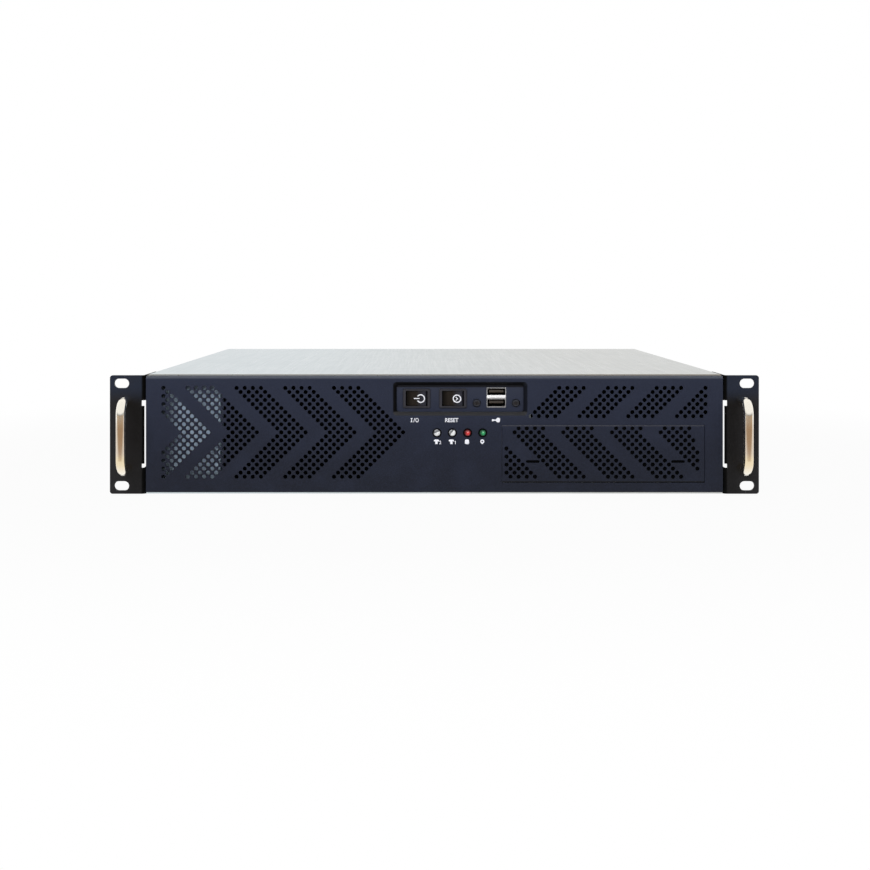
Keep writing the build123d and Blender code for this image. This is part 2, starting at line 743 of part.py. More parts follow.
# Fans: a square frame with three arms to the motor base, and a seven-bladed rotor on a shaft
for name, x in zip(("left", "right"), fan_x):
    fan_y = front_y + fan_front
    with BuildPart() as fan_frame:
        with BuildSketch(front_plane(fan_y)):
            with Locations((x, fan_z)):
                RectangleRounded(fan_size, fan_size, fan_corner)
                Circle(fan_bore / 2, mode=Mode.SUBTRACT)
        extrude(amount=-fan_t)
        with BuildSketch(front_plane(fan_back - fan_base_t)):
            with Locations((x, fan_z)):
                Circle(fan_base_d / 2)
                with PolarLocations((fan_base_d + fan_bore) / 4, 3, start_angle=90):
                    Rectangle((fan_bore - fan_base_d) / 2 + 2, fan_arm_w)
        extrude(amount=-fan_base_t)
        with BuildSketch(front_plane(fan_back - fan_base_t)):
            with Locations((x, fan_z)):
                Circle(fan_boss_d / 2)
        extrude(amount=fan_boss_l)
        with BuildSketch(front_plane(fan_back - fan_base_t - fan_boss_l)):
            with Locations((x, fan_z)):
                Circle(fan_shaft_d / 2 + snug)
        extrude(amount=-fan_boss_l, mode=Mode.SUBTRACT)
        screw_holes(front_plane(fan_y), [p for p in fan_holes if abs(p[0] - x) < fan_size / 2], fan_t)
    fan_frame.part.label = f"{name}_fan_frame"
    export_step(fan_frame.part, f"parts/{name}_fan_frame.step")

    hub_front = fan_y + hub_front_gap
    hub_back = fan_back - fan_base_t - hub_back_gap
    with BuildPart() as fan_rotor:
        with BuildSketch(front_plane(hub_front)):
            with Locations((x, fan_z)):
                Circle(fan_hub_d / 2)
        extrude(amount=-(hub_back - hub_front))
        with BuildSketch(front_plane(hub_front + hub_wall)):
            with Locations((x, fan_z)):
                Circle(fan_hub_d / 2 - hub_wall)
        extrude(amount=-(hub_back - hub_front), mode=Mode.SUBTRACT)
        with BuildSketch(front_plane(hub_front + hub_wall)):
            with Locations((x, fan_z)):
                Circle(fan_shaft_d / 2)
        extrude(amount=-(hub_back - hub_front - hub_wall))
        for blade in range(fan_blades):
            turn = math.radians(360 / fan_blades * blade)
            out = Vector(math.cos(turn), 0, math.sin(turn))
            middle = Vector(x, fan_y + (fan_t - fan_base_t) / 2, fan_z)
            for r, pitch, chord in (blade_root, blade_tip):
                along = Vector(-math.sin(turn), 0, math.cos(turn)) * math.cos(math.radians(pitch))
                along = along + Vector(0, 1, 0) * math.sin(math.radians(pitch))
                with BuildSketch(Plane(origin=middle + out * r, x_dir=along, z_dir=out)):
                    Rectangle(chord, blade_t)
            loft()
        with BuildSketch(front_plane(fan_y)):
            with Locations((x, fan_z)):
                Circle(fan_bore / 2 - blade_gap)
        extrude(amount=-fan_t, mode=Mode.INTERSECT)
    fan_rotor.part.label = f"{name}_fan_rotor"
    export_step(fan_rotor.part, f"parts/{name}_fan_rotor.step")

with BuildPart() as fan_screws:
    behind = Plane(origin=(0, fan_back + bracket_t, 0), x_dir=(-1, 0, 0), z_dir=(0, 1, 0))
    screw_on(behind, [(-x, z) for x, z in fan_holes], bracket_t + fan_screw_l)
fan_screws.part.label = "fan_screws"
export_step(fan_screws.part, "parts/fan_screws.step")

# Cage of the 5.25 inch bay: an upside-down channel on two feet, with ledges for the drive
cage_y = front_y + cage_front
cage_half = drive_w / 2
cage_top = bay_z0 + drive_h + drive_gap
with BuildPart() as bay_cage:
    with BuildSketch(front_plane(cage_y)):
        x0 = bay_mid[0]
        wall, roof = cage_half + bracket_t, cage_top + bracket_t
        shape = [
            (wall + cage_foot, tray_t),
            (wall + cage_foot, tray_t + bracket_t),
            (wall, tray_t + bracket_t),
            (wall, roof),
        ]
        inner = [
            (cage_half, cage_top),
            (cage_half, bay_z0),
            (cage_half - ledge_w, bay_z0),
            (cage_half - ledge_w, bay_z0 - bracket_t),
            (cage_half, bay_z0 - bracket_t),
            (cage_half, tray_t),
        ]
        outline = shape + [(-x, z) for x, z in reversed(shape)]
        outline += [(-x, z) for x, z in reversed(inner)] + inner
        with BuildLine():
            Polyline(*[(x0 + x, z) for x, z in outline], close=True)
        make_face()
    extrude(amount=-cage_l)
bay_cage.part.label = "bay_cage"
export_step(bay_cage.part, "parts/bay_cage.step")

# Cage of the hard disk: a channel on top of the bay cage, with flanges that face the front
disk_low = cage_top + bracket_t
with BuildPart() as disk_cage:
    with BuildSketch(front_plane(cage_y)):
        with Locations((disk_cage_x, disk_low + disk_cage_h / 2)):
            Rectangle(disk_w + 2 * bracket_t, disk_cage_h)
        with Locations((disk_cage_x, disk_low + disk_cage_h / 2 + bracket_t)):
            Rectangle(disk_w, disk_cage_h, mode=Mode.SUBTRACT)
    extrude(amount=-cage_l)
    with BuildSketch(front_plane(cage_y)):
        for side in (-1, 1):
            reach = disk_w / 2 + bracket_t + disk_flange / 2
            with Locations((disk_cage_x + side * reach, disk_low + disk_cage_h / 2)):
                Rectangle(disk_flange, disk_cage_h)
    extrude(amount=-bracket_t)
disk_cage.part.label = "disk_cage"
export_step(disk_cage.part, "parts/disk_cage.step")

# Back panel: openings for the board's sockets, four card slots and the power supply
panel_rear_t = tray_t
rear_inner = rear_face - panel_rear_t
card_x = [card_x0 - card_pitch * i for i in range(card_count)]
thumbs = [(-thumb_x, thumb_z), (thumb_x, thumb_z)]
supply_holes = [
    (supply_x + sx * supply_pitch_x / 2, supply_z + sz * supply_pitch_z / 2)
    for sx in (-1, 1)
    for sz in (-1, 1)
]
with BuildPart() as rear_panel:
    rear_half = step_half - tray_t
    with BuildSketch(front_plane(rear_inner)):
        with Locations((0, (tray_t + panel_top) / 2)):
            Rectangle(2 * rear_half, panel_top - tray_t)
        with Locations((io_x, io_z)):
            Rectangle(io_w, io_h, mode=Mode.SUBTRACT)
        with Locations(*[(x, card_z) for x in card_x]):
            Rectangle(card_w, card_h, mode=Mode.SUBTRACT)
        with Locations((supply_x, supply_z)):
            Rectangle(supply_w, supply_h, mode=Mode.SUBTRACT)
        with Locations(*supply_holes):
            Circle(supply_hole_d / 2, mode=Mode.SUBTRACT)
        with Locations(*thumbs):
            Circle(thumb_shank_d / 2 + snug, mode=Mode.SUBTRACT)
    extrude(amount=-panel_rear_t)
    with BuildSketch(Plane.YZ.offset(-rear_half)):
        with Locations((rear_inner - rear_flange / 2, panel_top - panel_rear_t / 2)):
            Rectangle(rear_flange, panel_rear_t)
        with Locations((rear_inner - rear_flange / 2, tray_t + panel_rear_t / 2)):
            Rectangle(rear_flange, panel_rear_t)
    extrude(amount=2 * rear_half)
    screw_holes(front_plane(rear_inner), [(x, cover_screw_z) for x in card_x], panel_rear_t)
rear_panel.part.label = "rear_panel"
export_step(rear_panel.part, "parts/rear_panel.step")

# Blank covers of the card slots, inside the back panel, each with one screw from outside
for number, x in enumerate(card_x, 1):
    cover_low = card_z - card_h / 2 - cover_lap
    cover_high = cover_screw_z + screw_head_d
    with BuildPart() as slot_cover:
        with BuildSketch(front_plane(rear_inner - bracket_t)):
            with Locations((x, (cover_low + cover_high) / 2)):
                Rectangle(cover_w, cover_high - cover_low)
        extrude(amount=-bracket_t)
        screw_holes(front_plane(rear_inner - bracket_t), [(x, cover_screw_z)], bracket_t)
    slot_cover.part.label = f"slot_cover_{number}"
    export_step(slot_cover.part, f"parts/slot_cover_{number}.step")

behind_case = Plane(origin=(0, rear_face, 0), x_dir=(-1, 0, 0), z_dir=(0, 1, 0))
with BuildPart() as slot_cover_screws:
    screw_on(behind_case, [(-x, cover_screw_z) for x in card_x], panel_rear_t + bracket_t + screw_tail)
slot_cover_screws.part.label = "slot_cover_screws"
export_step(slot_cover_screws.part, "parts/slot_cover_screws.step")

with BuildPart() as lid_thumbscrews:
    with BuildSketch(front_plane(rear_y + thumb_head_l)):
        with Locations(*thumbs):
            Circle(thumb_head_d / 2)
    extrude(amount=thumb_head_l - fit)
    with BuildSketch(front_plane(rear_y + fit)):
        with Locations(*thumbs):
            Circle(thumb_shank_d / 2)
    extrude(amount=rear_y + fit - rear_inner + thumb_l)
lid_thumbscrews.part.label = "lid_thumbscrews"
export_step(lid_thumbscrews.part, "parts/lid_thumbscrews.step")

# Stand-offs for the main board: hexagon brass posts with a hole for the board's screw
posts = [(standoff_x0 - dx, rear_inner - dy) for dx in standoff_dx for dy in standoff_dy]
with BuildPart() as board_standoffs:
    with BuildSketch(Plane.XY.offset(tray_t)):
        with Locations(*posts):
            RegularPolygon(standoff_w / 2, 6, major_radius=False)
            RegularPolygon(standoff_bore / 2, 6, mode=Mode.SUBTRACT)
    extrude(amount=standoff_h)
board_standoffs.part.label = "board_standoffs"
export_step(board_standoffs.part, "parts/board_standoffs.step")
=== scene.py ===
import math

import bmesh
import bpy
from mathutils import Matrix, Vector


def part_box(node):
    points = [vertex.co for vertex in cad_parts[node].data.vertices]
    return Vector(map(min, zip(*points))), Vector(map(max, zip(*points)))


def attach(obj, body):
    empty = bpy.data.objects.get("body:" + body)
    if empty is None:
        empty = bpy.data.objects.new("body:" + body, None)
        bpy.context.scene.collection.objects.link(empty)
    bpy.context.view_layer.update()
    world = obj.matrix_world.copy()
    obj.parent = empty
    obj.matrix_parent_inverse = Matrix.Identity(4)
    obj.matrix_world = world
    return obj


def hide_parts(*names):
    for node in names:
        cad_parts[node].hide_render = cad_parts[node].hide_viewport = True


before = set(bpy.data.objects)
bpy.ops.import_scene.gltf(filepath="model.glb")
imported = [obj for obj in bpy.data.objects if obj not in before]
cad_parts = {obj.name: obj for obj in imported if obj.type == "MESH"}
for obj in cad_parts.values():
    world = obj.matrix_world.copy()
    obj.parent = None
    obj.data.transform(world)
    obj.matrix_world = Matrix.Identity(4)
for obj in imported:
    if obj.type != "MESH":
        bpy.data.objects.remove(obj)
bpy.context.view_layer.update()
print("frame loaded")

# Sizes and places are in millimetres, as the case is measured, and shrunk to metres when a piece is done.
# The camera, the floor and the lamps are in metres.
millimetre = 0.001

# Camera, as far in front of the case and as high above the table as in the photograph
view = {"x": -0.0081, "y": -1.0985, "height": 0.1539, "lens": 51.03, "sensor": 36.0, "shiftX": 0.0132,
        "shiftY": -0.1703}
cameraData = bpy.data.cameras.new("camera")
cameraData.lens = view["lens"]
cameraData.sensor_width = view["sensor"]
cameraData.shift_x = view["shiftX"]
cameraData.shift_y = view["shiftY"]
cameraData.clip_start = 0.01
camera = bpy.data.objects.new("camera", cameraData)
camera.location = (view["x"], view["y"], view["height"])
camera.rotation_euler = (math.pi / 2, 0, 0)
bpy.context.scene.collection.objects.link(camera)
bpy.context.scene.camera = camera
bpy.context.scene.view_settings.view_transform = "Standard"


# Shader wiring

class Wire:
    def __init__(self, finish, socket):
        self.finish = finish
        self.socket = socket

    def math(self, operation, other, turned=False):
        pair = (other, self) if turned else (self, other)
        return self.finish.node("ShaderNodeMath", {"operation": operation}, {0: pair[0], 1: pair[1]})

    def __add__(self, other):
        return self.math("ADD", other)

    def __sub__(self, other):
        return self.math("SUBTRACT", other)

    def __mul__(self, other):
        return self.math("MULTIPLY", other)

    def __rsub__(self, other):
        return self.math("SUBTRACT", other, True)

    __radd__ = __add__
    __rmul__ = __mul__


class Finish:
    def __init__(self, name, tree=None):
        if tree is None:
            self.material = bpy.data.materials.new(name)
            self.material.use_nodes = True
            tree = self.material.node_tree
        self.tree = tree
        self.tree.nodes.clear()

    def node(self, kind, settings=None, sockets=None, out=0):
        made = self.tree.nodes.new(kind)
        for key, value in (settings or {}).items():
            setattr(made, key, value)
        for key, value in (sockets or {}).items():
            if isinstance(value, Wire):
                self.tree.links.new(value.socket, made.inputs[key])
            else:
                made.inputs[key].default_value = value
        return Wire(self, made.outputs[out]) if made.outputs else made

    def place(self, scale=(1, 1, 1)):
        spot = self.node("ShaderNodeTexCoord", out="Object")
        return self.node("ShaderNodeMapping", None, {"Vector": spot, "Scale": scale})

    def along(self, axis, output="Object"):
        spot = self.node("ShaderNodeTexCoord", out=output)
        return self.node("ShaderNodeSeparateXYZ", None, {"Vector": spot}, axis)

    def noise(self, size, detail=2.0, stretch=(1, 1, 1)):
        scale = tuple(side / (size * millimetre) for side in stretch)
        return self.node("ShaderNodeTexNoise", None,
                         {"Vector": self.place(scale), "Scale": 1.0, "Detail": detail})

    def fade(self, wire, low, high, start=0.0, end=1.0):
        return self.node("ShaderNodeMapRange", {"interpolation_type": "SMOOTHSTEP"},
                         {"Value": wire, "From Min": low, "From Max": high, "To Min": start, "To Max": end})

    def between(self, wire, places, start=0.0, end=1.0):
        # a fade from one place to another, in millimetres
        return self.fade(wire, places[0] * millimetre, places[1] * millimetre, start, end)

    def spread(self, noise, low, high):
        # the usual range of a noise, made to run from low to high
        return self.fade(noise, 0.3, 0.7, low, high)

    def patches(self, noise, share):
        # up to a share where a noise is high, nothing where it is low
        return self.fade(noise, 0.35, 0.7, 0.0, share)

    def blend(self, factor, first, second):
        first = (*first, 1) if isinstance(first, tuple) else first
        second = (*second, 1) if isinstance(second, tuple) else second
        return self.node("ShaderNodeMix", {"data_type": "RGBA"}, {0: factor, 6: first, 7: second}, 2)

    def reach(self, across, up):
        # how far a point is from the middle
        return self.node("ShaderNodeMath", {"operation": "SQRT"}, {0: across * across + up * up})

    def bump(self, height, strength, depth):
        return self.node("ShaderNodeBump", None, {"Height": height, "Strength": strength,
                                                  "Distance": depth * millimetre})

    def surface(self, **sockets):
        named = {key.replace("_", " "): value for key, value in sockets.items()}
        shader = self.node("ShaderNodeBsdfPrincipled", None, named)
        self.node("ShaderNodeOutputMaterial", None, {"Surface": shader})
        return self.material


def grey(level):
    return (level, level, level)


def toned(colour, share):
    return tuple(part * share for part in colour)


# Powder coat: dark blue-black, fine orange peel, a little bluer towards the top of the front
powder = {"top": (0.0165, 0.0205, 0.0370), "low": (0.0064, 0.0075, 0.0130), "shade": (0.0012, 0.0012, 0.0016),
          "climb": (0.0, 88.0), "cloud": 26.0, "cloudShare": 0.3, "cloudTone": 1.22, "grain": 0.45,
          "grainShare": 0.3, "grainTone": 1.7, "dullSpots": 3.5, "peel": 0.9, "peelDepth": 0.035,
          "shine": 0.22, "roughness": 0.47}


def climbingTone(paint, up):
    return paint.blend(paint.between(up, powder["climb"]), powder["low"], powder["top"])


def speckled(paint, tone, lighter):
    # clouding and fine grain, which all painted sheets share
    cloud = paint.fade(paint.noise(powder["cloud"], 3.0), 0.42, 0.75, 0.0, powder["cloudShare"])
    colour = paint.blend(cloud, tone, toned(lighter, powder["cloudTone"]))
    grain = paint.patches(paint.noise(powder["grain"], 1.0), powder["grainShare"])
    return paint.blend(grain, colour, toned(lighter, powder["grainTone"]))


def coatSurface(paint, colour, duller=0.0):
    peel = paint.noise(powder["peel"])
    rough = powder["roughness"]
    spots = paint.spread(paint.noise(powder["dullSpots"]), rough - 0.04, rough + 0.05)
    return paint.surface(Base_Color=colour, Roughness=spots + duller, IOR=1.45,
                         Specular_IOR_Level=powder["shine"],
                         Normal=paint.bump(peel, 0.5, powder["peelDepth"]))


# Front panel's coat: where the rolled rim of the recess lies, with painted shade in its hollow and painted
# light on parts of it, and where the top bend gets a painted highlight and the bottom bend painted shade
panelCoat = {"left": (-32.5, -31.5), "right": (70.8, 69.8), "low": (56.5, 57.0), "high": (84.6, 83.8),
             "deep": (-181.25, -180.6), "litRightSide": (65.5, 67.5), "litRightShare": 0.25,
             "litRimFoot": (61.2, 60.4), "litRimFootTone": (0.0330, 0.0330, 0.0350), "topBend": (85.0, 86.6),
             "topBendHighlight": (0.066, 0.073, 0.094), "lowBend": (1.2, 0.5)}


def powderCoat(name):
    paint = Finish(name)
    across, back, up = [paint.along(axis) for axis in range(3)]
    colour = speckled(paint, climbingTone(paint, up), powder["top"])
    # the rim: painted shade in its hollow, painted light on its right side and along its foot
    hollow = paint.between(back, panelCoat["deep"])
    for wire, edge in ((across, "left"), (across, "right"), (up, "low"), (up, "high")):
        hollow = hollow * paint.between(wire, panelCoat[edge])
    litRightSide = paint.between(across, panelCoat["litRightSide"]) * panelCoat["litRightShare"]
    shade = paint.blend(litRightSide, powder["shade"], powder["top"])
    shade = paint.blend(paint.between(up, panelCoat["litRimFoot"]), shade, panelCoat["litRimFootTone"])
    colour = paint.blend(hollow, colour, shade)
    # painted highlight along the top bend, painted shade along the bottom one
    colour = paint.blend(paint.between(up, panelCoat["topBend"]), colour, panelCoat["topBendHighlight"])
    return coatSurface(paint, paint.blend(paint.between(up, panelCoat["lowBend"]), colour, powder["shade"]))


# Bay cover's coat: a painted highlight along its upper edge, painted shadow along the lower one
coverEdges = {"top": (50.2, 50.5), "topHighlight": (0.0620, 0.0640, 0.0780), "foot": (9.6, 9.0)}


def coverCoat(name):
    paint = Finish(name)
    up = paint.along(2)
    colour = speckled(paint, climbingTone(paint, up), powder["top"])
    # painted highlight on the upper edge, painted shadow on the lower edge
    colour = paint.blend(paint.between(up, coverEdges["top"]), colour, coverEdges["topHighlight"])
    return coatSurface(paint, paint.blend(paint.between(up, coverEdges["foot"]), colour, powder["shade"]))


# Control plate's coat: paler, in the shade of the rim along its upper edge
plateTone = {"top": (0.0260, 0.0305, 0.0480), "climb": (60.0, 82.0), "rimShade": (78.4, 79.3),
             "shadeShare": 0.85}


def plateCoat(name):
    paint = Finish(name)
    up = paint.along(2)
    tone = paint.blend(paint.between(up, plateTone["climb"]), powder["top"], plateTone["top"])
    colour = speckled(paint, tone, powder["top"])
    rimShade = paint.between(up, plateTone["rimShade"], 0.0, plateTone["shadeShare"])
    return coatSurface(paint, paint.blend(rimShade, colour, powder["shade"]))


# Ears' coat: browner than the panel's, bluer at the top, with painted shade: much darker between the handle
# and the bend, and almost black inside the bend
earTone = {"top": (0.0125, 0.0180, 0.0330), "inside": (0.0024, 0.0021, 0.0022),
           "outside": (0.0125, 0.0120, 0.0130), "outwards": (222.0, 238.0), "upwards": (66.0, 80.0),
           "bend": (218.4, 216.8), "bendShadeLevel": 0.0004, "bendDuller": 0.5}


def earCoat(name):
    paint = Finish(name)
    aside = paint.node("ShaderNodeMath", {"operation": "ABSOLUTE"}, {0: paint.along(0)})
    # painted shadow of the handle: much darker inside, between the handle and the bend
    tone = paint.blend(paint.between(aside, earTone["outwards"]), earTone["inside"], earTone["outside"])
    tone = paint.blend(paint.between(paint.along(2), earTone["upwards"]), tone, earTone["top"])
    # painted shade: almost black inside the bend
    bend = paint.between(aside, earTone["bend"])
    colour = paint.blend(bend, speckled(paint, tone, earTone["outside"]), grey(earTone["bendShadeLevel"]))
    return coatSurface(paint, colour, bend * earTone["bendDuller"])


# Zinc-plated sheet: satin, faint crystal cells and rolling lines, with a painted reflection that makes it
# cooler on the left and greyer on the right
zinc = {"cool": (0.600, 0.665, 0.690), "greyReflection": (0.550, 0.560, 0.540), "turn": (-160.0, 170.0), "cell": 17.0,
        "rolling": 1.6, "rollingStretch": (1.0, 0.02, 1.0), "roughness": 0.30}


def rollingLines(sheet):
    return sheet.noise(zinc["rolling"], 2.0, zinc["rollingStretch"])


def zincSheet(name):
    sheet = Finish(name)
    # painted reflection: cool on the left, turning grey towards the right
    tone = sheet.blend(sheet.between(sheet.along(0), zinc["turn"]), zinc["cool"], zinc["greyReflection"])
    cells = sheet.node("ShaderNodeTexVoronoi", None,
                       {"Vector": sheet.place(), "Scale": 1.0 / (zinc["cell"] * millimetre)}, "Color")
    cell = sheet.node("ShaderNodeSeparateColor", None, {"Color": cells})
    rolling = rollingLines(sheet)
    colour = sheet.blend(sheet.fade(cell, 0.0, 1.0, 0.0, 0.07), tone, toned(zinc["cool"], 0.75))
    colour = sheet.blend(sheet.patches(rolling, 0.04), colour, grey(0.5))
    rough = sheet.fade(rolling + cell * 0.1, 0.3, 0.8, zinc["roughness"] - 0.03, zinc["roughness"] + 0.05)
    return sheet.surface(Base_Color=colour, Metallic=1.0, Roughness=rough,
                         Normal=sheet.bump(rolling, 0.05, 0.01))


# Fan bracket's zinc: pale and bluish, with painted shade along its outer edge and at its ends
wing = {"unshaded": (0.66, 0.83, 1.0), "paintedShadeShare": 0.12, "edge": (-206.0, -190.0), "foot": (8.0, 22.0),
        "footShare": 0.45, "head": (82.0, 70.0), "headShare": 0.5}


def wingSheet(name):
    sheet = Finish(name)
    across, up = sheet.along(0), sheet.along(2)
    # painted shade: darker towards the outer edge and the top and bottom ends
    unshaded = (sheet.between(across, wing["edge"]) * sheet.between(up, wing["foot"], wing["footShare"], 1.0)
             * sheet.between(up, wing["head"], wing["headShare"], 1.0))
    rolling = rollingLines(sheet)
    tone = sheet.blend(unshaded, toned(wing["unshaded"], wing["paintedShadeShare"]), wing["unshaded"])
    tone = sheet.blend(sheet.patches(rolling, 0.1), tone, grey(0.6))
    return sheet.surface(Base_Color=tone, Metallic=0.0, Roughness=sheet.spread(rolling, 0.45, 0.55),
                         Specular_IOR_Level=0.3, Normal=sheet.bump(rolling, 0.05, 0.01))


# Plated handle bar: bright nickel, with painted reflections: tan in its middle and golden below that
chrome = {"pale": (0.95, 0.90, 0.80), "tan": (0.60, 0.46, 0.33), "gold": (0.78, 0.60, 0.30),
          "tanTop": (60.0, 50.0), "tanFoot": (16.0, 26.0), "goldTop": (34.0, 28.0), "reflectionShare": 0.62,
          "drawn": 0.5, "drawnStretch": (1.0, 1.0, 0.04), "roughness": 0.15}


def chromeBar(name):
    plate = Finish(name)
    up = plate.along(2)
    # painted reflections: a tan band in the middle, golden below it
    reflectionBand = plate.between(up, chrome["tanTop"]) * plate.between(up, chrome["tanFoot"])
    reflectionTone = plate.blend(plate.between(up, chrome["goldTop"]), chrome["tan"], chrome["gold"])
    colour = plate.blend(reflectionBand * chrome["reflectionShare"], chrome["pale"], reflectionTone)
    drawn = plate.noise(chrome["drawn"], 1.0, chrome["drawnStretch"])
    rough = plate.spread(drawn, chrome["roughness"] - 0.03, chrome["roughness"] + 0.05)
    return plate.surface(Base_Color=colour, Metallic=1.0, Roughness=rough,
                         Normal=plate.bump(drawn, 0.06, 0.02))


def plainPlastic(name, colour, roughness, shine=0.4, grain=0.35, depth=0.015):
    plastic = Finish(name)
    speck = plastic.noise(grain)
    tone = plastic.blend(plastic.patches(plastic.noise(6.0), 0.35), colour, toned(colour, 1.35))
    return plastic.surface(Base_Color=tone, Specular_IOR_Level=shine,
                           Roughness=plastic.spread(speck, roughness - 0.05, roughness + 0.07),
                           Normal=plastic.bump(speck, 0.35, depth))


def plainMetal(name, colour, roughness, metallic=1.0):
    metal = Finish(name)
    speck = metal.noise(0.5)
    tone = metal.blend(metal.patches(metal.noise(2.5), 0.2), colour, toned(colour, 0.72))
    return metal.surface(Base_Color=tone, Metallic=metallic,
                         Roughness=metal.spread(speck, roughness - 0.06, roughness + 0.08),
                         Normal=metal.bump(speck, 0.12, 0.01))


# Rocker plastic: brownish in the middle, with painted shade making the pressed-in left end almost black and
# painted light making the right end paler and bluish
rockerTone = {"pressedShade": (0.0030, 0.0026, 0.0020), "middle": (0.0150, 0.0120, 0.0098),
              "raisedLight": (0.0255, 0.0262, 0.0350), "pressedEnds": (-7.2, -3.0), "raisedStarts": (-1.0, 5.0)}


def rockerPlastic(name, centreX):
    plastic = Finish(name)
    across = plastic.along(0) - centreX * millimetre
    # painted shade at the pressed-in left end, painted light towards the right end
    tone = plastic.blend(plastic.between(across, rockerTone["pressedEnds"]), rockerTone["pressedShade"],
                         rockerTone["middle"])
    tone = plastic.blend(plastic.between(across, rockerTone["raisedStarts"]), tone, rockerTone["raisedLight"])
    speck = plastic.noise(0.3)
    return plastic.surface(Base_Color=tone, Roughness=plastic.spread(speck, 0.34, 0.44),
                           Specular_IOR_Level=0.1, Normal=plastic.bump(speck, 0.3, 0.01))


# Dust screens: a fine black net
netting = {"strands": 260.0, "wobble": 0.3, "gap": (0.0012, 0.0012, 0.0012),
           "strand": (0.0050, 0.0050, 0.0062)}


def screenNet(name):
    net = Finish(name)
    ways = [net.node("ShaderNodeTexWave", {"wave_type": "BANDS", "bands_direction": way},
                     {"Vector": net.place(), "Scale": netting["strands"], "Distortion": netting["wobble"]})
            for way in "XZ"]
    strands = [net.node("ShaderNodeSeparateColor", None, {"Color": way}) for way in ways]
    weave = strands[0] * strands[1]
    return net.surface(Base_Color=net.blend(weave, netting["gap"], netting["strand"]),
                       Roughness=net.fade(weave, 0.0, 1.0, 0.9, 0.75), Specular_IOR_Level=0.05,
                       Normal=net.bump(weave, 0.4, 0.05))


# Coloured lens: bright core, darker towards its rim, and a painted highlight (glint) above its middle
lensLook = {"centreZ": 45.2, "core": (0.4, 2.3), "rimShare": 0.12, "glintUp": 0.8, "glint": (0.2, 1.0),
            "glintShare": 0.5, "glintPaler": 0.5, "ripple": 0.2}


def lens(name, colour, centreX):
    glass = Finish(name)
    across = glass.along(0) - centreX * millimetre
    up = glass.along(2) - lensLook["centreZ"] * millimetre
    tone = glass.blend(glass.between(glass.reach(across, up), lensLook["core"]), colour,
                       toned(colour, lensLook["rimShare"]))
    swirl = glass.noise(1.4, 1.0)
    # painted highlight: a paler spot above the middle
    fromGlint = glass.reach(across, up - lensLook["glintUp"] * millimetre)
    rippled = fromGlint + swirl * (lensLook["ripple"] * millimetre)
    tone = glass.blend(glass.between(rippled, lensLook["glint"], lensLook["glintShare"], 0.0), tone,
                       tuple(min(1.0, part + lensLook["glintPaler"]) for part in colour))
    return glass.surface(Base_Color=tone, Roughness=glass.spread(swirl, 0.16, 0.22), IOR=1.49,
                         Transmission_Weight=0.08, Specular_IOR_Level=0.5)


# Clear lens: the pale cup fills its lower part and the grey post behind it the upper part
clearLook = {"centreZ": 45.6, "cup": (0.93, 0.94, 0.95), "line": (0.16, 0.165, 0.175),
             "post": (0.55, 0.56, 0.58), "cupEdge": (0.25, 0.60), "postEdge": (1.4, 1.9), "ripple": 0.4}


def clearLens(name, centreX, slant):
    glass = Finish(name)
    tilt = math.radians(slant)
    across = glass.along(0) - centreX * millimetre
    up = glass.along(2) - clearLook["centreZ"] * millimetre
    side = up * math.cos(tilt) - across * math.sin(tilt)
    waves = glass.noise(0.9, 1.0)
    rippled = side + waves * (clearLook["ripple"] * millimetre)
    tone = glass.blend(glass.between(rippled, clearLook["cupEdge"]), clearLook["cup"], clearLook["line"])
    tone = glass.blend(glass.between(side, clearLook["postEdge"]), tone, clearLook["post"])
    return glass.surface(Base_Color=tone, Roughness=glass.spread(waves, 0.08, 0.14), IOR=1.49,
                         Transmission_Weight=0.12, Specular_IOR_Level=0.5)


def boardFinish(name):
    board = Finish(name)
    trace = board.noise(1.2, 1.0, (1.0, 0.15, 1.0))
    colour = board.blend(board.fade(trace, 0.48, 0.55), (0.012, 0.075, 0.035), (0.022, 0.13, 0.055))
    return board.surface(Base_Color=colour, Roughness=board.spread(trace, 0.3, 0.42),
                         Normal=board.bump(trace, 0.2, 0.02))


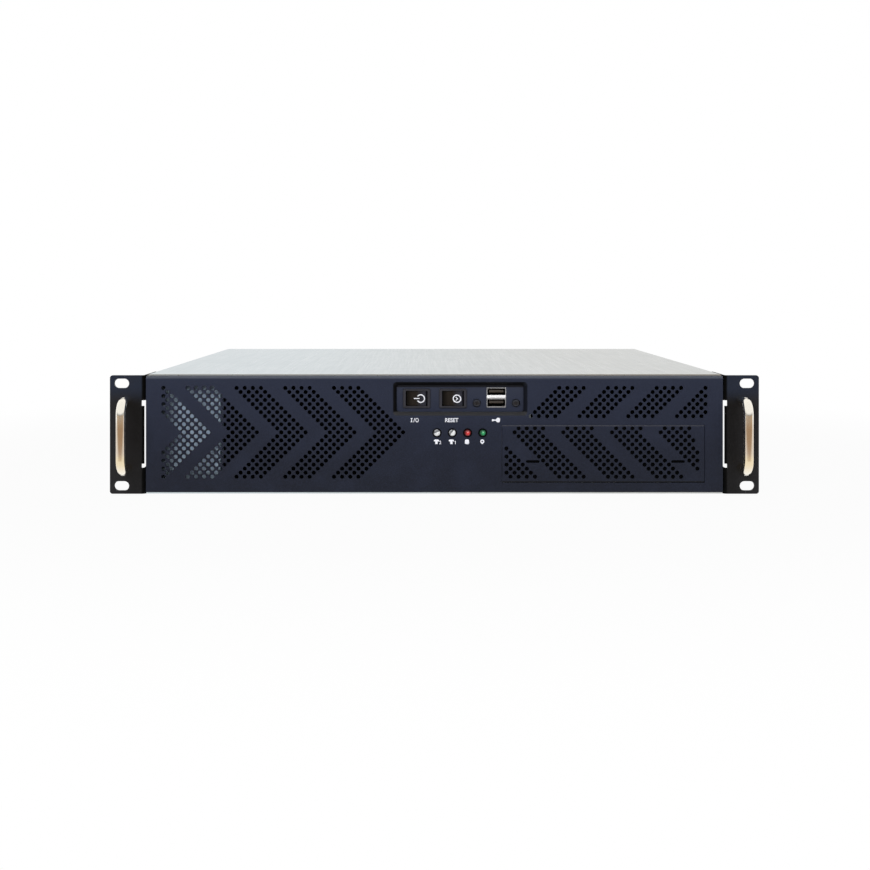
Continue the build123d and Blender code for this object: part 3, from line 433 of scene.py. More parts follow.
finishTable = (
    ("powder_coat", powderCoat),
    ("powder_coat_cover", coverCoat),
    ("powder_coat_plate", plateCoat),
    ("powder_coat_ears", earCoat),
    ("zinc_sheet", zincSheet),
    ("zinc_wing", wingSheet),
    ("chrome_bar", chromeBar),
    ("black_screws", plainMetal, (0.055, 0.057, 0.068), 0.34),
    ("zinc_screws", plainMetal, (0.66, 0.67, 0.68), 0.28),
    ("switch_plastic", plainPlastic, (0.0260, 0.0260, 0.0325), 0.45, 0.25),
    ("power_rocker", rockerPlastic, -13.25),
    ("reset_rocker", rockerPlastic, 13.9),
    ("screen_net", screenNet),
    ("lamp_collar", plainPlastic, (0.0010, 0.0010, 0.0012), 0.5, 0.05),
    ("socket_steel", plainMetal, (0.34, 0.345, 0.36), 0.3, 0.35),
    ("bright_lip", plainMetal, (0.96, 0.96, 0.97), 0.3, 0.1),
    ("socket_black", plainPlastic, (0.0045, 0.0042, 0.0040), 0.55, 0.1),
    ("tongue_plastic", plainPlastic, (0.036, 0.030, 0.025), 0.5),
    ("contact_gold", plainMetal, (0.85, 0.62, 0.25), 0.25),
    ("circuit_board", boardFinish),
    ("nylon", plainPlastic, (0.72, 0.71, 0.66), 0.5),
    ("clear_lens_two", clearLens, 1.9, 24.0),
    ("clear_lens_one", clearLens, 13.3, 52.0),
    ("red_lens", lens, (0.72, 0.040, 0.040), 24.9),
    ("green_lens", lens, (0.012, 0.36, 0.115), 36.2),
    ("fan_plastic", plainPlastic, (0.014, 0.014, 0.015), 0.45),
    ("brass_posts", plainMetal, (0.78, 0.60, 0.28), 0.3),
    ("white_ink", plainPlastic, (0.74, 0.75, 0.80), 0.6, 0.2, 0.2, 0.004),
)
finishes = {name: make(name, *looks) for name, make, *looks in finishTable}
print("finishes made:", len(finishes))


# Modelling steps

touch = 0.01  # places closer than this are the same place


def only(*pieces):
    if bpy.context.object and bpy.context.object.mode != "OBJECT":
        bpy.ops.object.mode_set(mode="OBJECT")
    bpy.ops.object.select_all(action="DESELECT")
    for piece in pieces:
        piece.select_set(True)
        bpy.context.view_layer.objects.active = piece


def settle(piece):
    only(piece)
    bpy.ops.object.transform_apply(location=True, rotation=True, scale=True)


def added(name, scale=(1, 1, 1)):
    # the primitive that was just added, named and with its place in its mesh
    piece = bpy.context.object
    piece.name = name
    piece.scale = scale
    settle(piece)
    return piece


def middle(part):
    spots = [part.co] if isinstance(part, bmesh.types.BMVert) else [corner.co for corner in part.verts]
    return sum(spots, Vector()) / len(spots)


def choose(piece, kind, test):
    if piece.mode != "EDIT":
        only(piece)
        bpy.ops.object.mode_set(mode="EDIT")
    bpy.ops.mesh.select_mode(type=kind)
    bpy.ops.mesh.select_all(action="DESELECT")
    shape = bmesh.from_edit_mesh(piece.data)
    parts = {"VERT": shape.verts, "EDGE": shape.edges, "FACE": shape.faces}[kind]
    for part in parts:
        if test(part):
            part.select_set(True)
    shape.select_flush_mode()
    bmesh.update_edit_mesh(piece.data)


def chooseAll(piece, kind):
    choose(piece, kind, lambda part: True)


def pull(value):
    bpy.ops.mesh.extrude_region_move(TRANSFORM_OT_translate={"value": value})


def stretch(value, about):
    bpy.ops.transform.resize(value=value, center_override=about)


def quarterTurn(radius, steps):
    # the steps of a bend: how far out and how far back each one ends
    for step in range(1, steps + 1):
        angle = math.pi / 2 * step / steps
        yield radius * math.sin(angle), radius * (1 - math.cos(angle))


def modify(piece, kind, **settings):
    only(piece)
    modifier = piece.modifiers.new(kind.lower(), kind)
    for key, value in settings.items():
        setattr(modifier, key, value)
    bpy.ops.object.modifier_apply(modifier=modifier.name)


def thicken(piece, thickness):
    modify(piece, "SOLIDIFY", thickness=thickness, offset=-1, use_even_offset=False, use_rim=True)


def cut(piece, cutter):
    modify(piece, "BOOLEAN", operation="DIFFERENCE", object=cutter, solver="EXACT")
    bpy.data.objects.remove(cutter)


def joined(name, pieces):
    only(*reversed(pieces))
    bpy.ops.object.join()
    whole = bpy.context.object
    whole.name = name
    return whole


def copiesAt(name, first, places):
    shape = bmesh.new()
    for place in places:
        copied = first.data.copy()
        copied.transform(place if isinstance(place, Matrix) else Matrix.Translation(place))
        shape.from_mesh(copied)
        bpy.data.meshes.remove(copied)
    mesh = bpy.data.meshes.new(name)
    shape.to_mesh(mesh)
    shape.free()
    whole = bpy.data.objects.new(name, mesh)
    bpy.context.scene.collection.objects.link(whole)
    bpy.data.objects.remove(first)
    return whole


def turnOutwards(piece):
    chooseAll(piece, "FACE")
    bpy.ops.mesh.remove_doubles(threshold=0.0005)
    bpy.ops.mesh.normals_make_consistent(inside=False)
    only(piece)


def faceForward(sheet):
    chooseAll(sheet, "FACE")
    bpy.ops.mesh.normals_make_consistent(inside=False)
    shape = bmesh.from_edit_mesh(sheet.data)
    shape.faces.ensure_lookup_table()
    if sum(face.normal.y * face.calc_area() for face in shape.faces) > 0:
        bpy.ops.mesh.flip_normals()
    only(sheet)


def block(name, low, high):
    only()
    bpy.ops.mesh.primitive_cube_add(size=1, location=[(a + b) / 2 for a, b in zip(low, high)])
    return added(name, [b - a for a, b in zip(low, high)])


def outline(name, x0, x1, z0, z1, y, corner=0.0, steps=4):
    # the edge of a sheet or of an opening: a plate without its face, with its corners rounded
    only()
    bpy.ops.mesh.primitive_plane_add(size=1, location=((x0 + x1) / 2, y, (z0 + z1) / 2),
                                     rotation=(math.pi / 2, 0, 0))
    edge = added(name, (x1 - x0, z1 - z0, 1))
    chooseAll(edge, "FACE")
    bpy.ops.mesh.delete(type="ONLY_FACE")
    if corner:
        chooseAll(edge, "VERT")
        bpy.ops.mesh.bevel(offset=corner, offset_type="OFFSET", segments=steps, affect="VERTICES")
    only(edge)
    return edge


def slotOutline(name, x, z, y, wide, high, steps):
    # the edge of a slot with round ends
    corner = high / 2 - 2 * touch
    return outline(name, x - wide / 2, x + wide / 2, z - high / 2, z + high / 2, y, corner, steps)


def ring(name, x, z, y, radius, sides=16):
    only()
    bpy.ops.mesh.primitive_circle_add(vertices=sides, radius=radius, fill_type="NOTHING", location=(x, y, z),
                                      rotation=(math.pi / 2, math.pi / sides, 0))
    return added(name)


def disc(name, x, z, y, radius, sides):
    only()
    bpy.ops.mesh.primitive_circle_add(vertices=sides, radius=radius, fill_type="NGON", location=(x, y, z),
                                      rotation=(math.pi / 2, 0, 0))
    return added(name)


def sheetWithOpenings(name, edges):
    sheet = joined(name, edges)
    chooseAll(sheet, "EDGE")
    bpy.ops.mesh.fill(use_beauty=True)
    bpy.ops.mesh.dissolve_degenerate(threshold=0.001)
    faceForward(sheet)
    return sheet


def turned(name, centre, profile, sides):
    # a round piece along y: a disc that is pulled and resized through (radius, distance) pairs
    radius, along = profile[0]
    piece = disc(name, centre[0], centre[2], centre[1] + along, radius, sides)
    chooseAll(piece, "FACE")
    for nextRadius, nextAlong in profile[1:]:
        pull((0, nextAlong - along, 0))
        scale = nextRadius / radius
        if abs(scale - 1) > 1e-6:
            stretch((scale, 1, scale), (centre[0], centre[1] + nextAlong, centre[2]))
        radius, along = nextRadius, nextAlong
    turnOutwards(piece)
    return piece


def finishPiece(piece, body, finish, replaces=None, smooth=None):
    # shrinks the piece to metres, smooths it, hangs it on its body and hides the node that it stands for
    only(piece)
    piece.scale = (millimetre,) * 3
    settle(piece)
    if smooth is not None:
        only(piece)
        bpy.ops.object.shade_smooth_by_angle(angle=math.radians(smooth))
    piece.data.materials.clear()
    piece.data.materials.append(finishes[finish])
    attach(piece, body)
    if replaces:
        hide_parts(replaces)
    return piece


def boxOf(node):
    low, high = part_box(node)
    return low / millimetre, high / millimetre


# Perforation: rows of round holes whose columns run in chevrons, from the left or the right end of the front
holes = {"pitchX": 3.02, "pitchZ": 3.0, "radius": 1.58, "sides": 14, "midZ": 45.7, "leftX": -201.5,
         "rightX": 201.6, "rows": 23, "firstStart": -6, "chevronPitch": 12, "shifts": (0, 2, 4, 6)}


def chevronHoles(chevrons, keep, fromRight):
    found = []
    for chevron in range(chevrons):
        for shift in holes["shifts"]:
            for row in range(holes["rows"]):
                column = (holes["firstStart"] + chevron * holes["chevronPitch"] + shift
                          + min(row, holes["rows"] - 1 - row))
                if keep(column, row):
                    along = column * holes["pitchX"]
                    x = holes["rightX"] - along if fromRight else holes["leftX"] + along
                    found.append((x, holes["midZ"] + (holes["rows"] // 2 - row) * holes["pitchZ"]))
    return found


def holeEdges(name, places, y):
    first = ring("hole", 0, 0, 0, holes["radius"], holes["sides"])
    return copiesAt(name, first, [(x, y, z) for x, z in places])


# Front panel: one folded sheet with a rolled recess and the chevrons
panel = {"sheet": 1.5, "topBend": 1.8, "lowBend": 0.9, "bendSteps": 5, "flangeHalf": 211.6, "flange": 14.0,
         "flangeStep": 0.4, "recess": (-28.15, 66.6, 60.6, 80.5), "rim": 3.2, "recessCorner": 2.6,
         "rimProfile": ((0.15, 0.03), (0.4, 0.16), (0.62, 0.42), (2.85, 3.5), (3.08, 4.0), (3.2, 5.0)),
         "bayGap": 0.16, "bayCorner": 0.8, "lampHole": 2.62, "lampSides": 24, "leftChevrons": 5,
         "upperChevrons": 4, "upperLastRow": 7}
panelLow, panelHigh = boxOf("front_panel")
coverLow, coverHigh = boxOf("bay_cover")
lampNames = ("network_lamp_2", "network_lamp_1", "disk_lamp", "power_lamp")
lampSpots = [sum(boxOf(name), Vector()) / 2 for name in lampNames]
frontY = panelLow.y


def makePanel():
    x0, x1, z0, z1 = panel["recess"]
    rim = panel["rim"]
    gap = panel["bayGap"]
    places = chevronHoles(panel["leftChevrons"], lambda column, row: column >= 0, False)
    places += chevronHoles(panel["upperChevrons"],
                           lambda column, row: column >= 0 and row <= panel["upperLastRow"], True)
    edges = [
        outline("panelEdge", panelLow.x, panelHigh.x, panelLow.z + panel["lowBend"],
                panelHigh.z - panel["topBend"], frontY),
        outline("recessEdge", x0 - rim, x1 + rim, z0 - rim, z1 + rim, frontY, panel["recessCorner"]),
        outline("bayEdge", coverLow.x - gap, coverHigh.x + gap, coverLow.z - gap, coverHigh.z + gap, frontY,
                panel["bayCorner"], 2),
        holeEdges("panelHoles", places, frontY),
    ]
    edges += [ring("lampEdge", spot.x, spot.z, frontY, panel["lampHole"], panel["lampSides"])
              for spot in lampSpots]
    sheet = sheetWithOpenings("frontPanel", edges)
    # rolled rim of the recess
    centre = ((x0 + x1) / 2, frontY, (z0 + z1) / 2)
    halfWide, halfHigh = (x1 - x0) / 2 + rim, (z1 - z0) / 2 + rim

    def onRecess(edge):
        spot = middle(edge)
        return (edge.is_boundary and abs(spot.x - centre[0]) < halfWide + touch
                and abs(spot.z - centre[2]) < halfHigh + touch)

    choose(sheet, "EDGE", onRecess)
    wide, high, back = halfWide, halfHigh, 0.0
    for inward, nextBack in panel["rimProfile"]:
        pull((0, nextBack - back, 0))
        stretch(((halfWide - inward) / wide, 1, (halfHigh - inward) / high), centre)
        wide, high, back = halfWide - inward, halfHigh - inward, nextBack
    # top and bottom bends, then the flanges behind them
    for edgeZ, radius, way in ((panelHigh.z, panel["topBend"], 1), (panelLow.z, panel["lowBend"], -1)):
        lineZ = edgeZ - way * radius

        def onBend(edge):
            spot = middle(edge)
            level = abs(edge.verts[0].co.z - edge.verts[1].co.z) < touch
            return edge.is_boundary and level and abs(spot.z - lineZ) < touch and abs(spot.y - frontY) < touch

        choose(sheet, "EDGE", onBend)
        up, back = 0.0, 0.0
        for nextUp, nextBack in quarterTurn(radius, panel["bendSteps"]):
            pull((0, nextBack - back, way * (nextUp - up)))
            up, back = nextUp, nextBack
        pull((0, panel["flangeStep"], 0))
        stretch((panel["flangeHalf"] / panelHigh.x, 1, 1), (0, 0, edgeZ))
        pull((0, panel["flange"] - back - panel["flangeStep"], 0))
    faceForward(sheet)
    thicken(sheet, panel["sheet"])
    return finishPiece(sheet, "case", "powder_coat", "front_panel", 32)


frontPanel = makePanel()
print("front panel:", len(frontPanel.data.polygons), "faces")

# Bay cover: a perforated blank with rolled edges, side walls and two grip slots
cover = {"sheet": 1.2, "corner": 0.7, "bend": 0.55, "bendSteps": 3, "depth": 13.5, "grip": (10.2, 2.0),
         "gripFromLeft": 23.0, "gripFromRight": 19.8, "gripUp": 15.6, "chevrons": 5, "firstRow": 10,
         "columns": (2, 49), "noHole": (2, 14)}


def makeCover():
    def kept(column, row):
        first, last = cover["columns"]
        return row >= cover["firstRow"] and first <= column <= last and (column, row) != cover["noHole"]

    bend = cover["bend"]
    edges = [
        outline("coverEdge", coverLow.x + bend, coverHigh.x - bend, coverLow.z + bend, coverHigh.z - bend,
                frontY, cover["corner"], 2),
        holeEdges("coverHoles", chevronHoles(cover["chevrons"], kept, True), frontY),
    ]
    for gripX in (coverLow.x + cover["gripFromLeft"], coverHigh.x - cover["gripFromRight"]):
        edges.append(slotOutline("gripEdge", gripX, coverLow.z + cover["gripUp"], frontY, *cover["grip"], 5))
    sheet = sheetWithOpenings("bayCover", edges)
    centre = ((coverLow.x + coverHigh.x) / 2, frontY, (coverLow.z + coverHigh.z) / 2)
    halfWide, halfHigh = (coverHigh.x - coverLow.x) / 2 - bend, (coverHigh.z - coverLow.z) / 2 - bend

    def outside(edge):
        spot = middle(edge)
        insideX, insideZ = halfWide - abs(spot.x - centre[0]), halfHigh - abs(spot.z - centre[2])
        return edge.is_boundary and (min(insideX, insideZ) < 2 * touch or max(insideX, insideZ) < 1)

    choose(sheet, "EDGE", outside)
    wide, high, back = halfWide, halfHigh, 0.0
    for outward, nextBack in quarterTurn(bend, cover["bendSteps"]):
        pull((0, nextBack - back, 0))
        stretch(((halfWide + outward) / wide, 1, (halfHigh + outward) / high), centre)
        wide, high, back = halfWide + outward, halfHigh + outward, nextBack
    pull((0, cover["depth"] - back, 0))
    faceForward(sheet)
    thicken(sheet, cover["sheet"])
    return finishPiece(sheet, "bay_cover", "powder_coat_cover", "bay_cover", 32)


bayCover = makeCover()
print("bay cover:", len(bayCover.data.polygons), "faces")

# Ears: bent sheet angles, with rack slots and a notch along the bend beside each handle
ear = {"sheet": 2.0, "bend": 3.3, "bendSteps": 6, "side": 40.0, "corner": 2.0, "slotX": 232.55,
       "slotZ": (5.9, 82.1), "slot": (11.0, 7.0), "notchX": 216.0, "reliefX": 218.0, "notchZ": (19.15, 69.5),
       "relief": (3.2, 4.25), "notchDepth": 14.0, "edge": 0.22}


def makeEar(name, node, side):
    low, high = boxOf(node)
    inner, outer = sorted((low.x, high.x), key=abs)
    bendX = inner + side * ear["bend"]
    x0, x1 = sorted((bendX, outer))
    edges = [outline("earEdge", x0, x1, low.z, high.z, low.y)]
    choose(edges[0], "VERT", lambda vert: abs(vert.co.x - outer) < touch)
    bpy.ops.mesh.bevel(offset=ear["corner"], offset_type="OFFSET", segments=5, affect="VERTICES")
    edges += [slotOutline("slotEdge", side * ear["slotX"], slotZ, low.y, *ear["slot"], 9)
              for slotZ in ear["slotZ"]]
    sheet = sheetWithOpenings(name, edges)
    choose(sheet, "EDGE", lambda edge: edge.is_boundary and abs(middle(edge).x - bendX) < touch)
    inward, back = 0.0, 0.0
    for nextIn, nextBack in quarterTurn(ear["bend"], ear["bendSteps"]):
        pull((-side * (nextIn - inward), nextBack - back, 0))
        inward, back = nextIn, nextBack
    pull((0, ear["side"] - back, 0))
    faceForward(sheet)
    thicken(sheet, ear["sheet"])
    # the notch: through the front of the bend, wider at its ends, and then into the side flange
    notchLow, notchHigh = ear["notchZ"]
    reliefLow, reliefHigh = ear["relief"]
    frontBack = low.y + ear["sheet"] + touch
    for reach, y0, y1, z0, z1 in (
            (ear["notchX"], low.y - 1, frontBack, notchLow, notchHigh),
            (ear["reliefX"], low.y - 1, frontBack, notchLow, notchLow + reliefLow),
            (ear["reliefX"], low.y - 1, frontBack, notchHigh - reliefHigh, notchHigh),
            (ear["reliefX"], frontBack - 2 * touch, low.y + ear["notchDepth"], notchLow, notchHigh)):
        ends = sorted((inner - side * 2, side * reach))
        cut(sheet, block("notch", (ends[0], y0, z0), (ends[1], y1, z1)))
    modify(sheet, "BEVEL", width=ear["edge"], segments=2, limit_method="ANGLE", angle_limit=math.radians(50))
    chooseAll(sheet, "FACE")
    bpy.ops.mesh.dissolve_degenerate(threshold=0.0001)
    return finishPiece(sheet, "case", "powder_coat_ears", node, 35)


rightEar = makeEar("rightEar", "right_ear", 1)
leftEar = makeEar("leftEar", "left_ear", -1)
print("ears:", len(rightEar.data.polygons), "and", len(leftEar.data.polygons), "faces")

# Handles: a round bar bent twice, its legs standing on the ear
handle = {"diameter": 7.0, "bend": 9.0, "bendSteps": 10, "sides": 28, "x": 228.0, "lowZ": 18.9, "highZ": 69.5}


def makeHandle(name, node, side):
    low, high = boxOf(node)
    radius, bend, x = handle["diameter"] / 2, handle["bend"], side * handle["x"]
    bendY = low.y + radius + bend
    bar = disc(name, x, handle["lowZ"], high.y, radius, handle["sides"])
    chooseAll(bar, "FACE")
    pull((0, bendY - high.y, 0))
    for bendZ, run in ((handle["lowZ"] + bend, (0, 0, handle["highZ"] - handle["lowZ"] - 2 * bend)),
                       (handle["highZ"] - bend, (0, high.y - bendY, 0))):
        bpy.ops.mesh.spin(steps=handle["bendSteps"], angle=math.pi / 2, center=(x, bendY, bendZ),
                          axis=(1, 0, 0))
        pull(run)
    turnOutwards(bar)
    return finishPiece(bar, "case", "chrome_bar", node, 40)


rightHandle = makeHandle("rightHandle", "right_handle", 1)
leftHandle = makeHandle("leftHandle", "left_handle", -1)
print("handles:", len(rightHandle.data.polygons), "and", len(leftHandle.data.polygons), "faces")

# Screws: one pan head with a cross recess, copied to every place where its node has a screw
screw = {"head": 6.0, "headHigh": 1.8, "shank": 3.0, "sides": 24, "cross": 3.2, "crossWide": 0.75,
         "crossDeep": 0.9, "dome": ((1.0, 0.35), (0.93, 0.66), (0.76, 0.88), (0.5, 1.0)), "tipGap": 0.05,
         "firstTurn": 23, "nextTurn": 31}
facings = {"front": ((0, -1, 0), 0), "back": ((0, 1, 0), 180), "left": ((-1, 0, 0), -90),
           "right": ((1, 0, 0), 90)}


def panHead(shankLong):
    radius, high, shank = screw["head"] / 2, screw["headHigh"], screw["shank"] / 2
    profile = [(shank, shankLong), (shank, 0.0), (radius, 0.0)]
    profile += [(radius * wide, -high * up) for wide, up in screw["dome"]]
    head = turned("screw", (0, 0, 0), profile, screw["sides"])
    arm, wide = screw["cross"] / 2, screw["crossWide"] / 2
    for x, z in ((arm, wide), (wide, arm)):
        cut(head, block("arm", (-x, -high - 1, -z), (x, screw["crossDeep"] - high, z)))
    return head


def limits(spots):
    # the lowest and the highest corner round some points
    return [Vector([pick(spot[i] for spot in spots) for i in range(3)]) for pick in (min, max)]


def screwPlaces(node):
    # the box of each loose part of a node, which is one screw
    shape = bmesh.new()
    shape.from_mesh(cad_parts[node].data)
    bmesh.ops.remove_doubles(shape, verts=shape.verts, dist=1e-6)
    found = []
    waiting = set(shape.verts)
    while waiting:
        part = [waiting.pop()]
        queue = list(part)
        while queue:
            near = {vert for edge in queue.pop().link_edges for vert in edge.verts} & waiting
            waiting -= near
            part += near
            queue += near
        low, high = limits([vert.co for vert in part])
        found.append((low / millimetre, high / millimetre))
    shape.free()
    return sorted(found, key=lambda pair: tuple(round(c, 3) for c in pair[0]))


def makeScrews(name, node, finish, facing):
    places = []
    for low, high in screwPlaces(node):
        centre, size = (low + high) / 2, high - low
        way = facing if facing != "sides" else ("left" if centre.x < 0 else "right")
        outward, turn = facings[way]
        long = size.x if facing == "sides" else size.y
        ownTurn = screw["firstTurn"] + screw["nextTurn"] * len(places)
        places.append(Matrix.Translation(centre + Vector(outward) * (long / 2 - screw["headHigh"]))
                      @ Matrix.Rotation(math.radians(turn), 4, "Z")
                      @ Matrix.Rotation(math.radians(ownTurn), 4, "Y"))
    whole = copiesAt(name, panHead(long - screw["headHigh"] - screw["tipGap"]), places)
    return finishPiece(whole, "case", finish, node, 35)


screws = [makeScrews(*words) for words in (("usbScrews", "usb_screws", "black_screws", "front"),
                                           ("earScrews", "ear_screws", "zinc_screws", "sides"),
                                           ("handleScrews", "handle_screws", "zinc_screws", "back"),
                                           ("fanScrews", "fan_screws", "zinc_screws", "back"),
                                           ("slotCoverScrews", "slot_cover_screws", "zinc_screws", "back"))]
print("screws placed:", len(screws), "kinds")

# Thumb screws of the lid: a knurled head with a slotless domed face
thumb = {"sides": 48, "knurl": 0.94, "shank": 2.0, "panelY": 198.8, "neck": 0.9, "neckLong": 1.2,
         "chamfer": 0.2, "rim": 1.4, "dome": ((0.93, -0.7), (0.72, -0.2), (0.4, 0.0))}


def makeThumbscrews():
    pairs = screwPlaces("lid_thumbscrews")
    low, high = pairs[0]
    head = (high.x - low.x) / 2
    back, neckWide = thumb["panelY"] - high.y, head * thumb["neck"]
    neckEnd = back + thumb["neckLong"]
    profile = [(thumb["shank"], low.y - high.y), (thumb["shank"], back), (neckWide, back),
               (neckWide, neckEnd), (head, neckEnd + thumb["chamfer"]), (head, -thumb["rim"])]
    profile += [(head * wide, along) for wide, along in thumb["dome"]]
    shape = turned("thumb", (0, 0, 0), profile, thumb["sides"])

    def valley(vert):
        turn = math.degrees(math.atan2(vert.co.z, vert.co.x)) / (360 / thumb["sides"])
        return round(turn) % 2 == 0 and abs(math.hypot(vert.co.x, vert.co.z) - head) < 5 * touch

    choose(shape, "VERT", valley)
    stretch((thumb["knurl"], 1, thumb["knurl"]), (0, 0, 0))
    only(shape)
    places = [((a + b).x / 2, high.y, (a + b).z / 2) for a, b in pairs]
    whole = copiesAt("lidThumbscrews", shape, places)
    return finishPiece(whole, "case", "zinc_screws", "lid_thumbscrews", 25)


makeThumbscrews()

# Lamps: domed lenses that stand out of their holes, in thin black collars
lamp = {"sides": 28, "domeSteps": 6, "straight": 0.35, "tip": 0.12, "collarOut": 3.35, "collarIn": 2.5,
        "collarHigh": 0.45, "collarSides": 32}


def makeLamp(name, node, finish, slot):
    low, high = boxOf(node)
    centre = (low + high) / 2
    radius, straight = (high.x - low.x) / 2, lamp["straight"]
    profile = [(radius, high.y - frontY), (radius, -straight)]
    for step in range(1, lamp["domeSteps"] + 1):
        angle = math.pi / 2 * step / lamp["domeSteps"]
        profile.append((max(lamp["tip"], radius * math.cos(angle)),
                        -straight - (frontY - low.y - straight) * math.sin(angle)))
    shape = turned(name, (centre.x, frontY, centre.z), profile, lamp["sides"])
    return finishPiece(shape, "case", finish, node, 60)


def makeCollars():
    hoop = sheetWithOpenings("collar", [ring("collarEdge", 0, 0, 0, lamp[side], lamp["collarSides"])
                                        for side in ("collarOut", "collarIn")])
    modify(hoop, "SOLIDIFY", thickness=lamp["collarHigh"], offset=-1)
    frontOfHoop = frontY - lamp["collarHigh"]
    collars = copiesAt("lampCollars", hoop, [(spot.x, frontOfHoop, spot.z) for spot in lampSpots])
    finishPiece(collars, "case", "lamp_collar", smooth=40)


for words in (("networkLampTwo", "network_lamp_2", "clear_lens_two", "clear_lens"),
              ("networkLampOne", "network_lamp_1", "clear_lens_one", "clear_lens"),
              ("diskLamp", "disk_lamp", "red_lens", "red_lens"),
              ("powerLamp", "power_lamp", "green_lens", "green_lens")):
    makeLamp(*words)
makeCollars()
print("lamps placed")

# Printed marks: each has the thickness of the ink, and one that lies over another stands out a little further
mark = {"thick": 0.05, "sink": 0.02, "bold": 0.16, "size": 10}
markY = frontY - mark["sink"]
markOver = markY - mark["sink"]


def flatMark(piece):
    modify(piece, "SOLIDIFY", thickness=mark["thick"], offset=0)
    return piece


def lettering(name, text, x, z, high, wide, bold=mark["bold"]):
    only()
    bpy.ops.object.text_add(location=(0, 0, 0), rotation=(math.pi / 2, 0, 0))
    words = bpy.context.object
    words.name = name
    words.data.body = text
    words.data.align_x = "CENTER"
    words.data.align_y = "CENTER"
    words.data.size = mark["size"]
    words.data.offset = bold
    bpy.ops.object.convert(target="MESH")
    bpy.ops.object.shade_flat()
    settle(words)
    low, top = limits([vert.co for vert in words.data.vertices])
    scale = Matrix.Diagonal((wide / (top - low).x, 1, high / (top - low).z, 1))
    words.data.transform(Matrix.Translation((x, markY, z)) @ scale @ Matrix.Translation((low + top) / -2))
    chooseAll(words, "FACE")
    bpy.ops.mesh.remove_doubles(threshold=0.00001)
    only(words)
    return flatMark(words)


def filledPatch(name, points, x, z, y):
    # a flat shape whose corners are given: a disc with that many corners, each moved to its place
    patch = disc(name, x, z, y, 1, len(points))
    for vert, (across, up) in zip(patch.data.vertices, points):
        vert.co = (x + across, y, z + up)
    faceForward(patch)
    return patch


def band(name, x, z, y, inner, outer, start=0.0, end=360.0, sides=32):
    # a flat ring, or a part of one
    if end - start > 359:
        return sheetWithOpenings(name, [ring(name, x, z, y, outer, sides), ring(name, x, z, y, inner, sides)])
    count = round(sides * (end - start) / 360)
    angles = [math.radians(start + (end - start) * i / count) for i in range(count + 1)]
    points = [(outer * math.cos(a), outer * math.sin(a)) for a in angles]
    points += [(inner * math.cos(a), inner * math.sin(a)) for a in reversed(angles)]
    return filledPatch(name, points, x, z, y)


def bar(x0, x1, half):
    return [(x0, -half), (x1, -half), (x1, half), (x0, half)]


def bothSides(points):
    # the right half of an outline and its mirror image
    return points + [(-across, up) for across, up in reversed(points)]


hubTop = bothSides([(0.9, 0.55), (1.3, 0.2), (1.9, 0.2), (1.9, 1.3), (1.0, 1.7)])
legends = (
    # name, text, x, z, height, width and, for the last, bolder strokes
    ("onLegend", "I", -17.0, 54.8, 3.0, 0.55),
    ("slashLegend", "/", -15.0, 54.8, 3.1, 1.5),
    ("offLegend", "O", -12.9, 54.8, 3.1, 2.5),
    ("portTwo", "2", 4.3, 38.2, 2.5, 1.5),
    ("resetLegend", "RESET", 12.9, 54.8, 3.1, 9.9, 0.24),
)
signs = (
    # serifs of the first legend, a plug with its lead, two hubs and a port number, a stack of disks, a bulb
    ("footSerif", bar(-0.75, 0.75, 0.22), -17.0, 53.5, markOver),
    ("headSerif", bar(-0.75, 0.75, 0.22), -17.0, 56.1, markOver),
    ("plugBody", [(-0.2, -0.55), (0.9, -1.7), (2.2, -1.7), (2.9, -0.9), (2.9, 0.9), (2.2, 1.7), (0.9, 1.7),
                  (-0.2, 0.55)], 45.9, 54.8, markY),
    ("plugLead", bar(-3.1, -0.2, 0.45), 45.9, 54.8, markOver),
    ("plugKnot", bar(-3.1, -1.9, 0.75), 45.9, 54.8, markY),
    ("hubTop", hubTop, 1.5, 38.7, markY),
    ("hubStem", bar(-0.9, 0.9, 1.2), 1.5, 38.2, markOver),
    ("hubTop", hubTop, 12.65, 38.7, markY),
    ("hubStem", bar(-0.9, 0.9, 1.2), 12.65, 38.2, markOver),
    ("portOne", [(-0.05, -1.25), (0.4, -1.25), (0.4, 1.25), (0.05, 1.25), (-0.5, 0.75), (-0.5, 0.3),
                 (-0.05, 0.6)], 15.45, 38.2, markY),
    ("diskStack", bothSides([(0.9, -1.7), (1.5, -1.2), (1.5, 1.2), (0.9, 1.7)]), 24.2, 38.7, markY),
    ("bulbFoot", [(-1.15, 0.0), (-0.2, -1.15), (0.2, -1.15), (1.15, 0.0), (0.0, -0.35)], 35.6, 38.1,
     markOver),
)
marks = [lettering(*legend) for legend in legends]
marks += [flatMark(filledPatch(*sign)) for sign in signs]
marks.append(flatMark(band("bulbGlass", 35.6, 38.95, markY, 0.62, 1.5)))
finishPiece(joined("printedMarks", marks), "case", "white_ink")
print("marks printed:", len(marks))

# Symbols on the rockers, wrapped onto their hollow faces: an open ring with a bar, and a ring with an arrow
symbol = {"lift": 0.05, "line": 0.42, "powerRing": (-10.2, 70.4), "powerRadius": 2.82, "powerOpen": 145,
          "powerBar": (-13.3, 70.4), "barHalf": (2.2, 0.336), "resetRing": (16.9, 70.3), "resetRadius": 2.74,
          "resetArrow": (16.6, 70.3)}


def rockerSymbol(name, pieces, rocker):
    whole = joined(name, pieces)
    chooseAll(whole, "FACE")
    bpy.ops.mesh.quads_convert_to_tris()
    bpy.ops.mesh.subdivide(number_cuts=2)
    only(whole)
    finishPiece(whole, rocker, "white_ink")
    modify(whole, "SHRINKWRAP", target=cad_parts[rocker], wrap_method="PROJECT", use_project_y=True,
           use_negative_direction=True, use_positive_direction=True, offset=symbol["lift"] * millimetre)
    modify(whole, "SOLIDIFY", thickness=mark["thick"] * millimetre, offset=0)
    return whole


